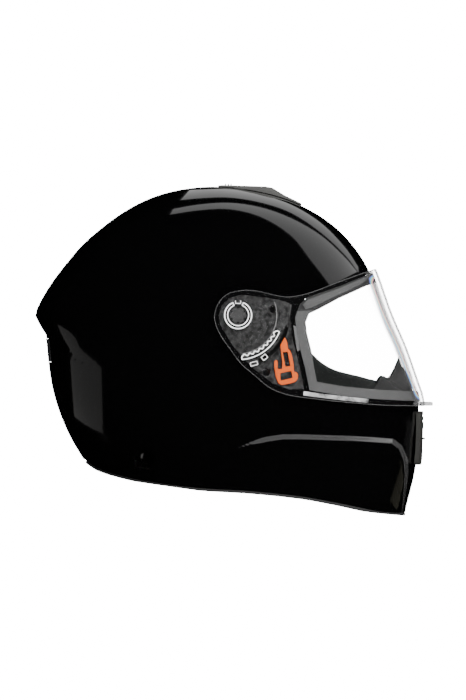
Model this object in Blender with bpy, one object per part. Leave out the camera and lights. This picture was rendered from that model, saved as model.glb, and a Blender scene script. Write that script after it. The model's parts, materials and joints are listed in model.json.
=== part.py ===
"""Full-face motorcycle helmet, built as an assembly of separate parts.

Every part is modelled in the worn frame: the origin is the visor's pivot, +X is
forward, +Y is the wearer's left and +Z is up. All parts hang on one empty, which
tips the chin up until the helmet stands on its lower edge, as it does on a table.
Lengths are metres.
"""

import math
from bisect import bisect_right

import bmesh
import bpy
from mathutils import Matrix, Vector

# Driving dimensions
SHELL_HALF_WIDTH = 0.122
SHELL_WALL = 0.004
VISOR_STANDOFF = 0.0065
VISOR_WALL = 0.0022
GAP = 0.0003
DOME_SEGMENTS = 32
DOME_RINGS = 16
SIDE_POWER = 2.5
WIDTH_POWER = 2.2
FAR = 0.2
LEFT = 1
RIGHT = -1

# Side view outline of the closed form that the shell, liners and visor are cut from
SHELL_OUTLINE = (
    (0.1314, -0.0039), (0.1236, 0.016), (0.112, 0.045), (0.0895, 0.074), (0.055, 0.097),
    (0.011, 0.110), (-0.032, 0.113), (-0.074, 0.1044), (-0.116, 0.080), (-0.144, 0.054),
    (-0.162, 0.024), (-0.168, 0.0), (-0.165, -0.030), (-0.161, -0.070), (-0.146, -0.108),
    (-0.134, -0.128), (-0.118, -0.175), (-0.070, -0.225), (0.0, -0.245), (0.070, -0.240),
    (0.118, -0.218), (0.143, -0.185), (0.149, -0.164), (0.157, -0.132), (0.1585, -0.110),
    (0.1585, -0.084), (0.157, -0.0683), (0.1508, -0.051), (0.1426, -0.0288),
)
SPOILER_PEAK = math.radians(179.5)
SPOILER_RISE = math.radians(13.0)
SPOILER_FALL = math.radians(6.0)
SPOILER_HEIGHT = 0.010

# Lower edge of the helmet, seen from the side
RIM = (
    (-0.134, -0.128), (-0.122, -0.135), (-0.0965, -0.142), (-0.068, -0.147), (-0.032, -0.151),
    (0.0105, -0.1535), (0.053, -0.158), (0.081, -0.163), (0.102, -0.1675), (0.123, -0.172),
    (0.147, -0.1745),
)
RIM_REAR_X = -0.1325
RIM_FRONT_X = 0.1455
TRIM_HEIGHT = 0.0022
TRIM_OUT = 0.0008
TRIM_IN = 0.0049
TRIM_GAP = 0.0005
STANCE_REAR = Vector((-0.068, 0.0, -0.1464))
STANCE_FRONT = Vector((0.138, 0.0, -0.1734))

# Side view outlines, counterclockwise
EYE_PORT = (
    (0.057, -0.045), (0.061, -0.0645), (0.090, -0.0695), (0.121, -0.0725), (0.157, -0.0745),
    (FAR, -0.078), (FAR, 0.065), (0.125, 0.041), (0.114, 0.0365), (0.0875, 0.0255),
    (0.059, 0.0155), (0.0525, 0.009), (0.0485, -0.002), (0.050, -0.018),
)
EYE_OPENING = (
    (0.065, -0.045), (0.0675, -0.057), (0.090, -0.061), (0.121, -0.064), (0.157, -0.066),
    (FAR, -0.069), (FAR, 0.056), (0.114, 0.027), (0.0875, 0.015), (0.069, 0.005),
    (0.061, 0.0015), (0.058, -0.006), (0.059, -0.015), (0.063, -0.031),
)
VISOR = (
    (-0.009, -0.026), (0.003, -0.042), (0.014, -0.0515), (0.027, -0.062), (0.042, -0.068),
    (0.061, -0.071), (0.0875, -0.074), (0.121, -0.077), (0.163, -0.0785), (FAR, -0.080),
    (FAR, 0.069), (0.121, 0.0412), (0.0875, 0.029), (0.061, 0.019), (0.044, 0.0155),
    (0.034, 0.0165), (0.023, 0.019), (0.013, 0.021), (0.003, 0.021), (-0.009, 0.018),
    (-0.017, 0.010), (-0.020, 0.001), (-0.020, -0.0045), (-0.0165, -0.0145),
)
BASE_PLATE = (
    (0.005, -0.038), (0.016, -0.048), (0.029, -0.058), (0.043, -0.0635), (0.0565, -0.0635),
    (0.053, -0.045), (0.046, -0.018), (0.0445, -0.002), (0.046, 0.009), (0.040, 0.012),
    (0.022, 0.0155), (0.003, 0.0175), (-0.007, 0.015), (-0.014, 0.008), (-0.0165, 0.0),
    (-0.0155, -0.008), (-0.006, -0.024),
)
LEVER = (
    (0.031, -0.042), (0.034, -0.057), (0.037, -0.060), (0.045, -0.058), (0.0505, -0.055),
    (0.051, -0.050), (0.048, -0.0475), (0.046, -0.032), (0.0425, -0.029), (0.0405, -0.0185),
    (0.0355, -0.0255), (0.036, -0.031), (0.0365, -0.037), (0.034, -0.0425), (0.032, -0.039),
)
SPRING_WINDOW = ((0.041, -0.0435), (0.044, -0.043), (0.0425, -0.0315), (0.039, -0.0315))
FINGER_WINDOW = ((0.038, -0.0555), (0.046, -0.052), (0.045, -0.048), (0.036, -0.0495))
CHEEK_BLOCK = (
    (-0.055, -0.128), (0.074, -0.128), (0.074, -0.080), (0.058, -0.070), (0.054, -0.060),
    (0.0475, -0.0365), (-0.062, -0.0365),
)
CHEEK_PAD = (
    (-0.055, -0.124), (0.080, -0.124), (0.110, -0.110), (0.128, -0.078), (0.128, -0.058),
    (0.101, -0.0505), (0.083, -0.0455), (0.072, -0.039), (0.0645, -0.031), (0.0565, -0.0325),
    (0.0535, -0.0365), (-0.055, -0.040),
)
FOAM_LOWER_CUT = (
    (-0.096, -0.30), (FAR, -0.30), (FAR, -0.035), (-0.075, -0.035), (-0.075, -0.100),
    (-0.096, -0.100),
)
CHIN_BLOCK = ((0.0745, -0.150), (0.160, -0.163), (FAR, -0.163), (FAR, -0.080), (0.0745, -0.080))
NECK_ROLL = (
    (-0.136, -0.1190), (-0.122, -0.1290), (-0.110, -0.1340), (-0.096, -0.1385), (-0.096, -0.1185),
    (-0.136, -0.1185),
)
CURTAIN = ((0.085, -0.159), (0.150, -0.168), (0.150, -0.1665), (0.085, -0.1575))
TOP_VENT = (
    (-0.018, 0.104), (0.0555, 0.088), (0.0555, 0.0985), (0.041, 0.1055), (0.030, 0.1122),
    (0.024, 0.1133), (-0.014, 0.1145), (-0.018, 0.1140),
)

# Visor pivot and release lever
HUB_RADIUS = 0.0066
HUB_TOP = SHELL_HALF_WIDTH + 0.0033
COLLAR_INNER = 0.009
COLLAR_OUTER = 0.0116
COLLAR_FLOOR = SHELL_HALF_WIDTH + 0.0011
PLATE_TOP = 0.0007
PLATE_BOTTOM = -0.0017
POCKET_FLOOR = -0.0020
LEVER_BOTTOM = 0.0012
LEVER_TOP = 0.0030
PEG_PLACE = (0.0425, -0.0413)
SPRING_TOP = (0.0408, -0.0323)
SCREW_PLACES = ((0.0300, 0.0050), (0.0240, -0.0490))
SCREW_HEAD_RADIUS = 0.0029
SCREW_SHANK_RADIUS = 0.0013

# Liners
EPS_SKIN = -0.0044
CAVITY_CENTRE = Vector((-0.015, 0.0, -0.020))
CAVITY_RADII = Vector((0.118, 0.088, 0.100))
COMFORT_THICKNESS = 0.008
CHEEK_DEPTH = -0.0332
PAD_DEPTH = -0.053
CHIN_DEPTH = -0.024
PAD_INNER_Y = 0.030

# Vents
VENT_HALF_WIDTH = 0.017
SLOT_HALF_WIDTH = 0.008
CHIN_VENT_HALF_WIDTH = 0.034
CHIN_VENT_TOP = -0.0835
CHIN_VENT_BOTTOM = -0.130
GRILLE_HALF_WIDTH = 0.030

# Chin strap and buckle
RIVET_PLACE = (-0.078, -0.122)
STRAP_END_Y = 0.0795
LEFT_STRAP_START_Y = 0.0245
RIGHT_STRAP_START_Y = 0.0510
SLEEVE_END_Y = 0.0735
STRAP_WIDTH = 0.025
STRAP_THICKNESS = 0.0018
STRAP_HEIGHT = -0.137
STRAP_CENTRE_X = -0.005
BUCKLE_WIDTH = 0.029
BUCKLE_FRONT_Y = 0.020
BUCKLE_REAR_Y = -0.016
BUCKLE_FLOOR_TOP = 0.0022
LEVER_PIVOT = Vector((STRAP_CENTRE_X, 0.0150, STRAP_HEIGHT - 0.0020))
LEVER_PIN_RADIUS = 0.0011


def clear_scene():
    """Empty the file of objects."""
    for item in list(bpy.data.objects):
        bpy.data.objects.remove(item, do_unlink=True)


# ---------------------------------------------------------------- curves

def smooth_through(knots, position):
    """Value at position of a smooth curve through sorted (position, value) knots."""
    index = bisect_right(knots, (position, math.inf)) - 1
    index = max(0, min(len(knots) - 2, index))

    def slope(place):
        before = knots[max(0, place - 1)]
        after = knots[min(len(knots) - 1, place + 1)]
        return (after[1] - before[1]) / (after[0] - before[0])

    (start, low), (end, high) = knots[index], knots[index + 1]
    span = end - start
    part = (position - start) / span
    square, cube = part * part, part ** 3
    return (
        (2 * cube - 3 * square + 1) * low
        + (cube - 2 * square + part) * span * slope(index)
        + (3 * square - 2 * cube) * high
        + (cube - square) * span * slope(index + 1)
    )


def polar_knots(outline):
    """Sorted (angle, radius) knots of a closed outline, repeated past both ends."""
    knots = sorted((math.atan2(z, x) % math.tau, math.hypot(x, z)) for x, z in outline)
    before = [(angle - math.tau, radius) for angle, radius in knots[-3:]]
    after = [(angle + math.tau, radius) for angle, radius in knots[:3]]
    return before + knots + after


OUTLINE_KNOTS = polar_knots(SHELL_OUTLINE)


def outline_radius(angle, share=1.0):
    """Radius of the side outline; the rear spoiler fades in towards the centre line."""
    angle %= math.tau
    radius = smooth_through(OUTLINE_KNOTS, angle)
    width = SPOILER_RISE if angle < SPOILER_PEAK else SPOILER_FALL
    near = max(0.0, 1.0 - abs(angle - SPOILER_PEAK) / width)
    return radius + SPOILER_HEIGHT * near * max(0.0, (share - 0.75) / 0.25)


def dome_y(x, z, grow=0.0):
    """Half width of the dome over a point of the side view."""
    share = math.hypot(x, z) / (outline_radius(math.atan2(z, x)) + grow)
    if share >= 1.0:
        return 0.0
    return (SHELL_HALF_WIDTH + grow) * (1.0 - share ** SIDE_POWER) ** (1.0 / WIDTH_POWER)


def dome_normal(x, z, side):
    """Outward direction of the shell over a point of the side view."""
    step = 0.001
    along = (dome_y(x + step, z) - dome_y(x - step, z)) / (2 * step)
    upward = (dome_y(x, z + step) - dome_y(x, z - step)) / (2 * step)
    return Vector((-along, side, -upward)).normalized()


def inset(outline, distance):
    """A counterclockwise outline moved inwards by distance (outwards if negative)."""
    moved = []
    for index, point in enumerate(outline):
        here = Vector(point)
        arrive = (here - Vector(outline[index - 1])).normalized()
        leave = (Vector(outline[(index + 1) % len(outline)]) - here).normalized()
        normal = Vector((-arrive.y - leave.y, arrive.x + leave.x)).normalized()
        reach = distance / max(0.3, normal.dot(Vector((-leave.y, leave.x))))
        moved.append(tuple(here + normal * reach))
    return moved


# ---------------------------------------------------------------- solids

def new_object(name, mesh):
    """Turn a bmesh into an object of the scene."""
    bmesh.ops.recalc_face_normals(mesh, faces=mesh.faces)
    if mesh.calc_volume(signed=True) < 0.0:
        bmesh.ops.reverse_faces(mesh, faces=mesh.faces)
    data = bpy.data.meshes.new(name)
    mesh.to_mesh(data)
    mesh.free()
    item = bpy.data.objects.new(name, data)
    bpy.context.scene.collection.objects.link(item)
    return item


def dome(grow=0.0, name="dome"):
    """The closed form of the helmet, grown by an even amount."""
    mesh = bmesh.new()
    bmesh.ops.create_uvsphere(mesh, u_segments=DOME_SEGMENTS, v_segments=DOME_RINGS, radius=1.0)
    for vert in mesh.verts:
        angle = math.atan2(vert.co.y, vert.co.x)
        share = math.hypot(vert.co.x, vert.co.y) ** (2.0 / SIDE_POWER)
        reach = (outline_radius(angle, share) + grow) * share
        height = abs(vert.co.z) ** (2.0 / WIDTH_POWER) * (SHELL_HALF_WIDTH + grow)
        y = -math.copysign(height, vert.co.z)
        vert.co = (reach * math.cos(angle), y, reach * math.sin(angle))
    bmesh.ops.triangulate(mesh, faces=mesh.faces, quad_method="FIXED")
    return new_object(name, mesh)


def egg(radii, centre, name="egg"):
    """An ellipsoid with its poles on Z."""
    mesh = bmesh.new()
    bmesh.ops.create_uvsphere(mesh, u_segments=24, v_segments=14, radius=1.0)
    place = Matrix.Translation(centre) @ Matrix.Diagonal(radii).to_4x4()
    bmesh.ops.transform(mesh, matrix=place, verts=mesh.verts)
    bmesh.ops.triangulate(mesh, faces=mesh.faces, quad_method="FIXED")
    return new_object(name, mesh)


def prism(outline, low, high, name="prism"):
    """A side view outline extruded along Y from low to high."""
    mesh = bmesh.new()
    corners = [mesh.verts.new((x, low, z)) for x, z in outline]
    face = mesh.faces.new(corners)
    grown = bmesh.ops.extrude_face_region(mesh, geom=[face])
    moved = [item for item in grown["geom"] if isinstance(item, bmesh.types.BMVert)]
    bmesh.ops.translate(mesh, verts=moved, vec=(0.0, high - low, 0.0))
    return new_object(name, mesh)


def block(low, high, name="block", bevel=0.0):
    """A box between two corners."""
    mesh = bmesh.new()
    bmesh.ops.create_cube(mesh, size=1.0)
    size = Vector(high) - Vector(low)
    place = Matrix.Translation((Vector(high) + Vector(low)) / 2) @ Matrix.Diagonal(size).to_4x4()
    bmesh.ops.transform(mesh, matrix=place, verts=mesh.verts)
    if bevel:
        bmesh.ops.bevel(mesh, geom=mesh.edges, offset=bevel, segments=1, profile=0.5, affect="EDGES")
    return new_object(name, mesh)


def turned(profile, origin, axis, name="turned", steps=24):
    """A profile of (radius, height) corners turned about an axis through origin."""
    mesh = bmesh.new()
    corners = [mesh.verts.new((radius, 0.0, height)) for radius, height in profile]
    count = len(corners)
    edges = [mesh.edges.new((corners[i], corners[i + 1])) for i in range(count - 1)]
    if profile[0][0] > 0.0 and profile[-1][0] > 0.0:
        edges.append(mesh.edges.new((corners[-1], corners[0])))
    bmesh.ops.spin(
        mesh, geom=corners + edges, cent=(0, 0, 0), axis=(0, 0, 1), angle=math.tau, steps=steps,
        use_merge=True,
    )
    bmesh.ops.remove_doubles(mesh, verts=mesh.verts, dist=1e-6)
    turn = Vector((0, 0, 1)).rotation_difference(Vector(axis)).to_matrix().to_4x4()
    bmesh.ops.transform(mesh, matrix=Matrix.Translation(origin) @ turn, verts=mesh.verts)
    return new_object(name, mesh)


def swept(frames, profile, name="swept", closed=False):
    """A closed profile of (out, up) corners carried along (origin, out, up) frames."""
    mesh = bmesh.new()
    rings = []
    for origin, outward, upward in frames:
        rings.append([mesh.verts.new(origin + outward * u + upward * v) for u, v in profile])
    pairs = list(zip(rings, rings[1:]))
    if closed:
        pairs.append((rings[-1], rings[0]))
    count = len(profile)
    for first, second in pairs:
        for i in range(count):
            j = (i + 1) % count
            mesh.faces.new((first[i], first[j], second[j], second[i]))
    if not closed:
        mesh.faces.new(rings[0])
        mesh.faces.new(rings[-1])
    return new_object(name, mesh)


def coil(start, end, radius, wire, turns, name, steps=7):
    """A helical spring between two points."""
    axis = (end - start).normalized()
    first = axis.orthogonal().normalized()
    second = axis.cross(first)
    frames = []
    for step in range(turns * steps + 1):
        angle = step * math.tau / steps
        spoke = first * math.cos(angle) + second * math.sin(angle)
        origin = start.lerp(end, step / (turns * steps)) + spoke * radius
        frames.append((origin, spoke, axis))
    section = [(wire, 0.0), (0.0, wire), (-wire, 0.0), (0.0, -wire)]
    return swept(frames, section, name)


def combine(target, tool, operation, keep_tool=False):
    """Apply one exact Boolean to the target."""
    modifier = target.modifiers.new("combine", "BOOLEAN")
    modifier.operation = operation
    modifier.solver = "EXACT"
    modifier.object = tool
    depsgraph = bpy.context.evaluated_depsgraph_get()
    result = bpy.data.meshes.new_from_object(target.evaluated_get(depsgraph))
    target.modifiers.clear()
    old = target.data
    target.data = result
    bpy.data.meshes.remove(old)
    if not keep_tool:
        bpy.data.objects.remove(tool, do_unlink=True)
    return target


def cut(target, *tools):
    """Take each tool's volume away from the target."""
    for tool in tools:
        combine(target, tool, "DIFFERENCE")
    return target


def keep(target, *tools):
    """Keep only what of the target lies inside each tool."""
    for tool in tools:
        combine(target, tool, "INTERSECT")
    return target


def join(target, *tools):
    """Add each tool's volume to the target."""
    for tool in tools:
        combine(target, tool, "UNION")
    return target


def band(outer, inner):
    """The layer of the dome between two amounts of growth."""
    return cut(dome(outer), dome(inner))


def span(side, low, high):
    """The y range from low to high on one side, in increasing order."""
    return (low, high) if side == LEFT else (-high, -low)


def side_prism(outline, side, low=0.06, high=0.16):
    """A prism over one side of the helmet only."""
    return prism(outline, *span(side, low, high))


def finish(item, name, colour, roughness, metallic=0.0, alpha=1.0, origin=None):
    """Name a finished part, give it its material and its origin, and stand it up."""
    item.name = name
    item.data.name = name
    material = bpy.data.materials.new(name)
    material.use_nodes = True
    shader = material.node_tree.nodes["Principled BSDF"]
    shader.inputs["Base Color"].default_value = (*colour, 1.0)
    shader.inputs["Roughness"].default_value = roughness
    shader.inputs["Metallic"].default_value = metallic
    shader.inputs["Alpha"].default_value = alpha
    item.data.materials.clear()
    item.data.materials.append(material)
    if origin is not None:
        item.data.transform(Matrix.Translation(-Vector(origin)))
        item.location = origin
    item.parent = bpy.data.objects["stand"]
    return item


# ---------------------------------------------------------------- shell and edges

def rim_height(x):
    """Height of the lower edge at x."""
    return smooth_through(RIM, x)


def below_rim(lift):
    """Everything under the lower edge, raised by lift."""
    stations = [RIM_REAR_X - 0.03 + 0.0075 * step for step in range(46)]
    top = [(x, rim_height(max(RIM[0][0], min(RIM[-1][0], x))) + lift) for x in stations]
    outline = [(stations[0], -0.30), (stations[-1], -0.30)] + top[::-1]
    return prism(outline, -FAR, FAR)


def rim_frames(count):
    """Level frames along the lower edge: the origin on the shell's outside, then out and up."""
    middle = (RIM_FRONT_X + RIM_REAR_X) / 2
    half = (RIM_FRONT_X - RIM_REAR_X) / 2

    def place(turn):
        x = middle + half * math.cos(turn)
        z = rim_height(x)
        return Vector((x, math.copysign(dome_y(x, z), math.sin(turn)), z))

    up = Vector((0, 0, 1))
    frames = []
    for step in range(count):
        turn = math.tau * (step + 0.5) / count
        along = (place(turn + 0.02) - place(turn - 0.02)).normalized()
        point = place(turn)
        frames.append((Vector((point.x, point.y, 0.0)), along.cross(up).normalized(), up))
    return frames


def build_outer_shell():
    """Hard shell with eye port, plate pockets, rivet and vent holes."""
    shell = cut(dome(), below_rim(TRIM_HEIGHT + TRIM_GAP), prism(EYE_PORT, -FAR, FAR))
    cut(shell, dome(-SHELL_WALL))
    for side in (LEFT, RIGHT):
        pocket = side_prism(inset(BASE_PLATE, -GAP), side)
        cut(pocket, dome(POCKET_FLOOR))
        cut(shell, pocket)
        for x, z in SCREW_PLACES:
            hole = [(0.0, -0.01), (0.0017, -0.01), (0.0017, 0.01), (0.0, 0.01)]
            cut(shell, turned(hole, (x, side * dome_y(x, z), z), (0, side, 0), steps=12))
        point, normal = rivet_frame(side)
        hole = [(0.0, -0.012), (0.0029, -0.012), (0.0029, 0.006), (0.0, 0.006)]
        cut(shell, turned(hole, point, normal, steps=12))
    cut(shell, block((-0.0195, -SLOT_HALF_WIDTH, 0.1112), (0.0075, SLOT_HALF_WIDTH, 0.13)))
    cut(shell, block((0.0005, -0.004, 0.10), (0.0055, 0.004, 0.12)))
    cut(shell, block((0.14, -0.009, -0.1150), (0.18, 0.009, -0.1110)))
    pocket = block((-0.19, -GRILLE_HALF_WIDTH - GAP, -0.0403), (-0.12, GRILLE_HALF_WIDTH + GAP, -0.0197))
    cut(pocket, dome(POCKET_FLOOR))
    cut(shell, pocket)
    finish(shell, "outer_shell", (0.004, 0.004, 0.005), 0.08)


def build_base_edge_trim():
    """Rubber bead under the shell's edge, flat where the helmet stands on it."""
    section = [(TRIM_OUT, 0.0), (TRIM_OUT, TRIM_HEIGHT), (-TRIM_IN, TRIM_HEIGHT), (-TRIM_IN, 0.0)]
    trim = swept(rim_frames(64), section, closed=True)
    mesh = bmesh.new()
    mesh.from_mesh(trim.data)
    for vert in mesh.verts:
        vert.co.z += rim_height(vert.co.x)
    slope = (STANCE_FRONT - STANCE_REAR).normalized()
    normal = slope.cross(Vector((0, 1, 0)))
    geometry = list(mesh.verts) + list(mesh.edges) + list(mesh.faces)
    bmesh.ops.bisect_plane(
        mesh, geom=geometry, plane_co=STANCE_REAR, plane_no=normal, clear_outer=normal.z < 0,
        clear_inner=normal.z > 0,
    )
    open_edges = [edge for edge in mesh.edges if edge.is_boundary]
    bmesh.ops.edgeloop_fill(mesh, edges=open_edges)
    bpy.data.objects.remove(trim, do_unlink=True)
    finish(new_object("trim", mesh), "base_edge_trim", (0.02, 0.02, 0.02), 0.6)


def build_eye_port_gasket():
    """Rubber seal around the eye port."""
    seal = keep(band(0.0025, -0.007), prism(inset(EYE_PORT, GAP), -FAR, FAR))
    cut(seal, prism(EYE_OPENING, -FAR, FAR))
    finish(seal, "eye_port_gasket", (0.10, 0.10, 0.10), 0.55)


# ---------------------------------------------------------------- visor and its mounts

def build_visor():
    """Clear shield with a split collar around each pivot and a lifting tab."""
    shield = keep(band(VISOR_STANDOFF, VISOR_STANDOFF - VISOR_WALL), prism(VISOR, -FAR, FAR))
    ceiling = SHELL_HALF_WIDTH + VISOR_STANDOFF - VISOR_WALL / 2
    for side in (LEFT, RIGHT):
        section = [
            (COLLAR_INNER, COLLAR_FLOOR), (COLLAR_OUTER, COLLAR_FLOOR),
            (COLLAR_OUTER, ceiling), (COLLAR_INNER, ceiling),
        ]
        collar = turned(section, (0, 0, 0), (0, side, 0))
        gap_low, gap_high = span(side, COLLAR_FLOOR - 0.001, ceiling + 0.001)
        cut(collar, block((-0.005, gap_low, 0.0), (0.005, gap_high, 0.02)))
        join(shield, collar)
    join(shield, block((0.160, -0.013, -0.0786), (0.1705, 0.013, -0.0752), bevel=0.0008))
    finish(shield, "visor", (0.85, 0.87, 0.88), 0.03, alpha=0.25, origin=(0, 0, 0))


def build_base_plate(side, name):
    """Pivot plate let into the shell, with the visor's hub and the spring's peg."""
    plate = keep(band(PLATE_TOP, PLATE_BOTTOM), side_prism(BASE_PLATE, side))
    root = SHELL_HALF_WIDTH - 0.001
    join(plate, turned([(0.0, root), (HUB_RADIUS, root), (HUB_RADIUS, HUB_TOP), (0.0, HUB_TOP)],
                       (0, 0, 0), (0, side, 0)))
    x, z = PEG_PLACE
    peg_low = dome_y(x, z, -0.0008)
    peg_high = dome_y(x, z, LEVER_TOP)
    join(plate, turned([(0.0, peg_low), (0.0010, peg_low), (0.0010, peg_high), (0.0, peg_high)],
                       (x, 0, z), (0, side, 0), steps=8))
    for x, z in SCREW_PLACES:
        seat = dome_y(x, z) - 0.0006
        hole = [(0.0, -0.01), (0.0017, -0.01), (0.0017, 0.0), (0.0034, 0.0), (0.0034, 0.01), (0.0, 0.01)]
        cut(plate, turned(hole, (x, side * seat, z), (0, side, 0), steps=16))
    finish(plate, name, (0.02, 0.02, 0.022), 0.45)


def build_plate_screw(place, side, name):
    """Flat-headed screw with a cross recess, seated in the base plate."""
    x, z = place
    seat = dome_y(x, z) - 0.0003
    profile = [
        (0.0, -0.0028), (SCREW_SHANK_RADIUS, -0.0028), (SCREW_SHANK_RADIUS, 0.0),
        (SCREW_HEAD_RADIUS, 0.0), (SCREW_HEAD_RADIUS, 0.0009), (0.0022, 0.0013), (0.0, 0.0013),
    ]
    screw = turned(profile, (x, side * seat, z), (0, side, 0), steps=16)
    low, high = span(side, seat + 0.0007, seat + 0.002)
    cut(screw, block((x - 0.0017, low, z - 0.0004), (x + 0.0017, high, z + 0.0004)))
    cut(screw, block((x - 0.0004, low, z - 0.0017), (x + 0.0004, high, z + 0.0017)))
    finish(screw, name, (0.35, 0.35, 0.36), 0.3, metallic=1.0)


def build_release_lever(side, name):
    """Sliding lever that frees the visor, with its spring window and finger hole."""
    lever = keep(band(LEVER_TOP, LEVER_BOTTOM), side_prism(LEVER, side))
    cut(lever, side_prism(SPRING_WINDOW, side), side_prism(FINGER_WINDOW, side))
    middle = (0.0425, side * dome_y(0.0425, -0.039, LEVER_BOTTOM), -0.039)
    finish(lever, name, (0.9, 0.22, 0.05), 0.4, origin=middle)


def build_release_spring(side, name):
    """Small coil between the lever's window and the plate's peg."""
    depth = (LEVER_BOTTOM + LEVER_TOP) / 2
    top = Vector((SPRING_TOP[0], side * dome_y(*SPRING_TOP, depth), SPRING_TOP[1]))
    foot_z = PEG_PLACE[1] + 0.0015
    foot = Vector((PEG_PLACE[0] - 0.0002, side * dome_y(PEG_PLACE[0], foot_z, depth), foot_z))
    spring = coil(top, foot, 0.0008, 0.00018, 6, name)
    finish(spring, name, (0.6, 0.6, 0.62), 0.25, metallic=1.0)


# ---------------------------------------------------------------- liners and pads

def build_crown_liner():
    """Expanded foam bowl inside the crown and the back of the shell."""
    foam = dome(EPS_SKIN)
    cut(foam, prism(FOAM_LOWER_CUT, -FAR, FAR))
    cut(foam, prism(((-FAR, -0.30), (0.0, -0.30), (0.0, -0.118), (-FAR, -0.118)), -FAR, FAR))
    cut(foam, prism(inset(EYE_PORT, -GAP), -FAR, FAR), egg(CAVITY_RADII, CAVITY_CENTRE))
    finish(foam, "crown_foam_liner", (0.03, 0.03, 0.03), 0.9)


def build_comfort_liner():
    """Fabric-covered padding against the crown of the head."""
    padding = egg(CAVITY_RADII - Vector((GAP, GAP, GAP)), CAVITY_CENTRE)
    thinner = COMFORT_THICKNESS
    cut(padding, egg(CAVITY_RADII - Vector((thinner, thinner, thinner)), CAVITY_CENTRE))
    cut(padding, prism(((-0.080, -0.30), (FAR, -0.30), (FAR, -0.030), (-0.080, -0.030)), -FAR, FAR))
    cut(padding, prism(((-FAR, -0.30), (0.0, -0.30), (0.0, -0.092), (-FAR, -0.092)), -FAR, FAR))
    cut(padding, prism(inset(EYE_PORT, -0.004), -FAR, FAR))
    finish(padding, "crown_comfort_liner", (0.05, 0.05, 0.055), 0.9)


def build_cheek_foam(side, name):
    """Foam block between the shell and the cheek pad."""
    foam = keep(dome(EPS_SKIN), side_prism(CHEEK_BLOCK, side, 0.05, 0.16))
    finish(cut(foam, dome(CHEEK_DEPTH)), name, (0.03, 0.03, 0.03), 0.9)


def build_cheek_pad(side, name):
    """Soft pad that holds the cheek."""
    pad = keep(dome(CHEEK_DEPTH - GAP), side_prism(CHEEK_PAD, side, PAD_INNER_Y, 0.16))
    finish(cut(pad, dome(PAD_DEPTH)), name, (0.05, 0.06, 0.055), 0.95)


def build_chin_liner():
    """Foam bar inside the chin."""
    foam = keep(band(EPS_SKIN, CHIN_DEPTH), prism(CHIN_BLOCK, -FAR, FAR))
    finish(foam, "chin_foam_liner", (0.03, 0.03, 0.03), 0.9)


def build_neck_roll():
    """Padded roll along the rear lower edge."""
    roll = keep(band(-0.0046, -0.026), prism(NECK_ROLL, -FAR, FAR))
    finish(roll, "neck_roll", (0.03, 0.03, 0.03), 0.8)


def build_chin_curtain():
    """Fabric sheet that closes the space under the chin."""
    sheet = keep(dome(-0.0055), prism(CURTAIN, -FAR, FAR))
    throat = turned([(0.0, -0.2), (0.068, -0.2), (0.068, 0.0), (0.0, 0.0)], (0.040, 0, 0), (0, 0, 1))
    finish(cut(sheet, throat), "chin_curtain", (0.03, 0.03, 0.03), 0.9)


def build_breath_deflector():
    """Rubber mask that stands on the chin bar and keeps breath off the visor."""
    mesh = bmesh.new()
    columns, rows = 14, 4
    bmesh.ops.create_grid(mesh, x_segments=columns, y_segments=rows, size=1.0)
    half_width, base_height = 0.050, -0.0762
    for vert in mesh.verts:
        lateral, level = vert.co.x, (vert.co.y + 1.0) / 2.0
        y = half_width * lateral
        lobe = 0.010 * math.exp(-((abs(lateral) - 0.80) / 0.14) ** 2)
        top = -0.0355 - 0.030 * (1.0 - math.cos(math.pi * lateral)) / 2.0 + lobe
        base_x = 0.1483 - 0.0095 * lateral ** 2
        bulge = 0.0055 * math.sin(math.pi * min(1.0, level * 1.25)) * (1.0 - 0.5 * lateral ** 2)
        lean = -0.0075 * level ** 2 - 0.008 * lateral ** 2 * level
        vert.co = (base_x + bulge + lean, y, base_height + (top - base_height) * level)
    bmesh.ops.solidify(mesh, geom=list(mesh.faces), thickness=0.0016)
    finish(new_object("deflector", mesh), "breath_deflector", (0.06, 0.06, 0.06), 0.6)


# ---------------------------------------------------------------- vents

def build_top_vent():
    """Hood over the crown intake, and the slider that shuts it."""
    hood = prism(TOP_VENT, -VENT_HALF_WIDTH, VENT_HALF_WIDTH)
    cut(hood, dome(GAP))
    cut(hood, block((-0.0195, -SLOT_HALF_WIDTH, 0.10), (0.0075, SLOT_HALF_WIDTH, 0.13)))
    finish(hood, "top_vent_hood", (0.09, 0.09, 0.09), 0.5)
    width = SLOT_HALF_WIDTH - GAP
    slider = block((-0.0140, -width, 0.1115), (-0.0030, width, 0.1145), bevel=0.0004)
    join(slider, block((-0.0115, -width + 0.002, 0.1140), (-0.0055, width - 0.002, 0.1160), bevel=0.0005))
    finish(slider, "top_vent_slider", (0.07, 0.07, 0.07), 0.5, origin=(-0.0085, 0.0, 0.1130))


def build_chin_vent():
    """Shield over the chin intake, and the shutter in its window."""
    wide = CHIN_VENT_HALF_WIDTH
    shield = keep(band(0.0045, GAP), block((0.1, -wide, CHIN_VENT_BOTTOM), (0.19, wide, CHIN_VENT_TOP)))
    cut(shield, block((0.1, -0.0165, -0.1168), (0.19, 0.0165, -0.0985)))
    finish(shield, "chin_vent_shield", (0.045, 0.045, 0.042), 0.6)
    shutter = keep(band(0.0034, 0.0008), block((0.1, -0.0161, -0.1164), (0.19, 0.0161, -0.1046)))
    join(shutter, block((0.1605, -0.006, -0.1082), (0.1640, 0.006, -0.1066), bevel=0.0004))
    finish(shutter, "chin_vent_shutter", (0.06, 0.06, 0.058), 0.5, origin=(0.160, 0.0, -0.1105))


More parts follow.
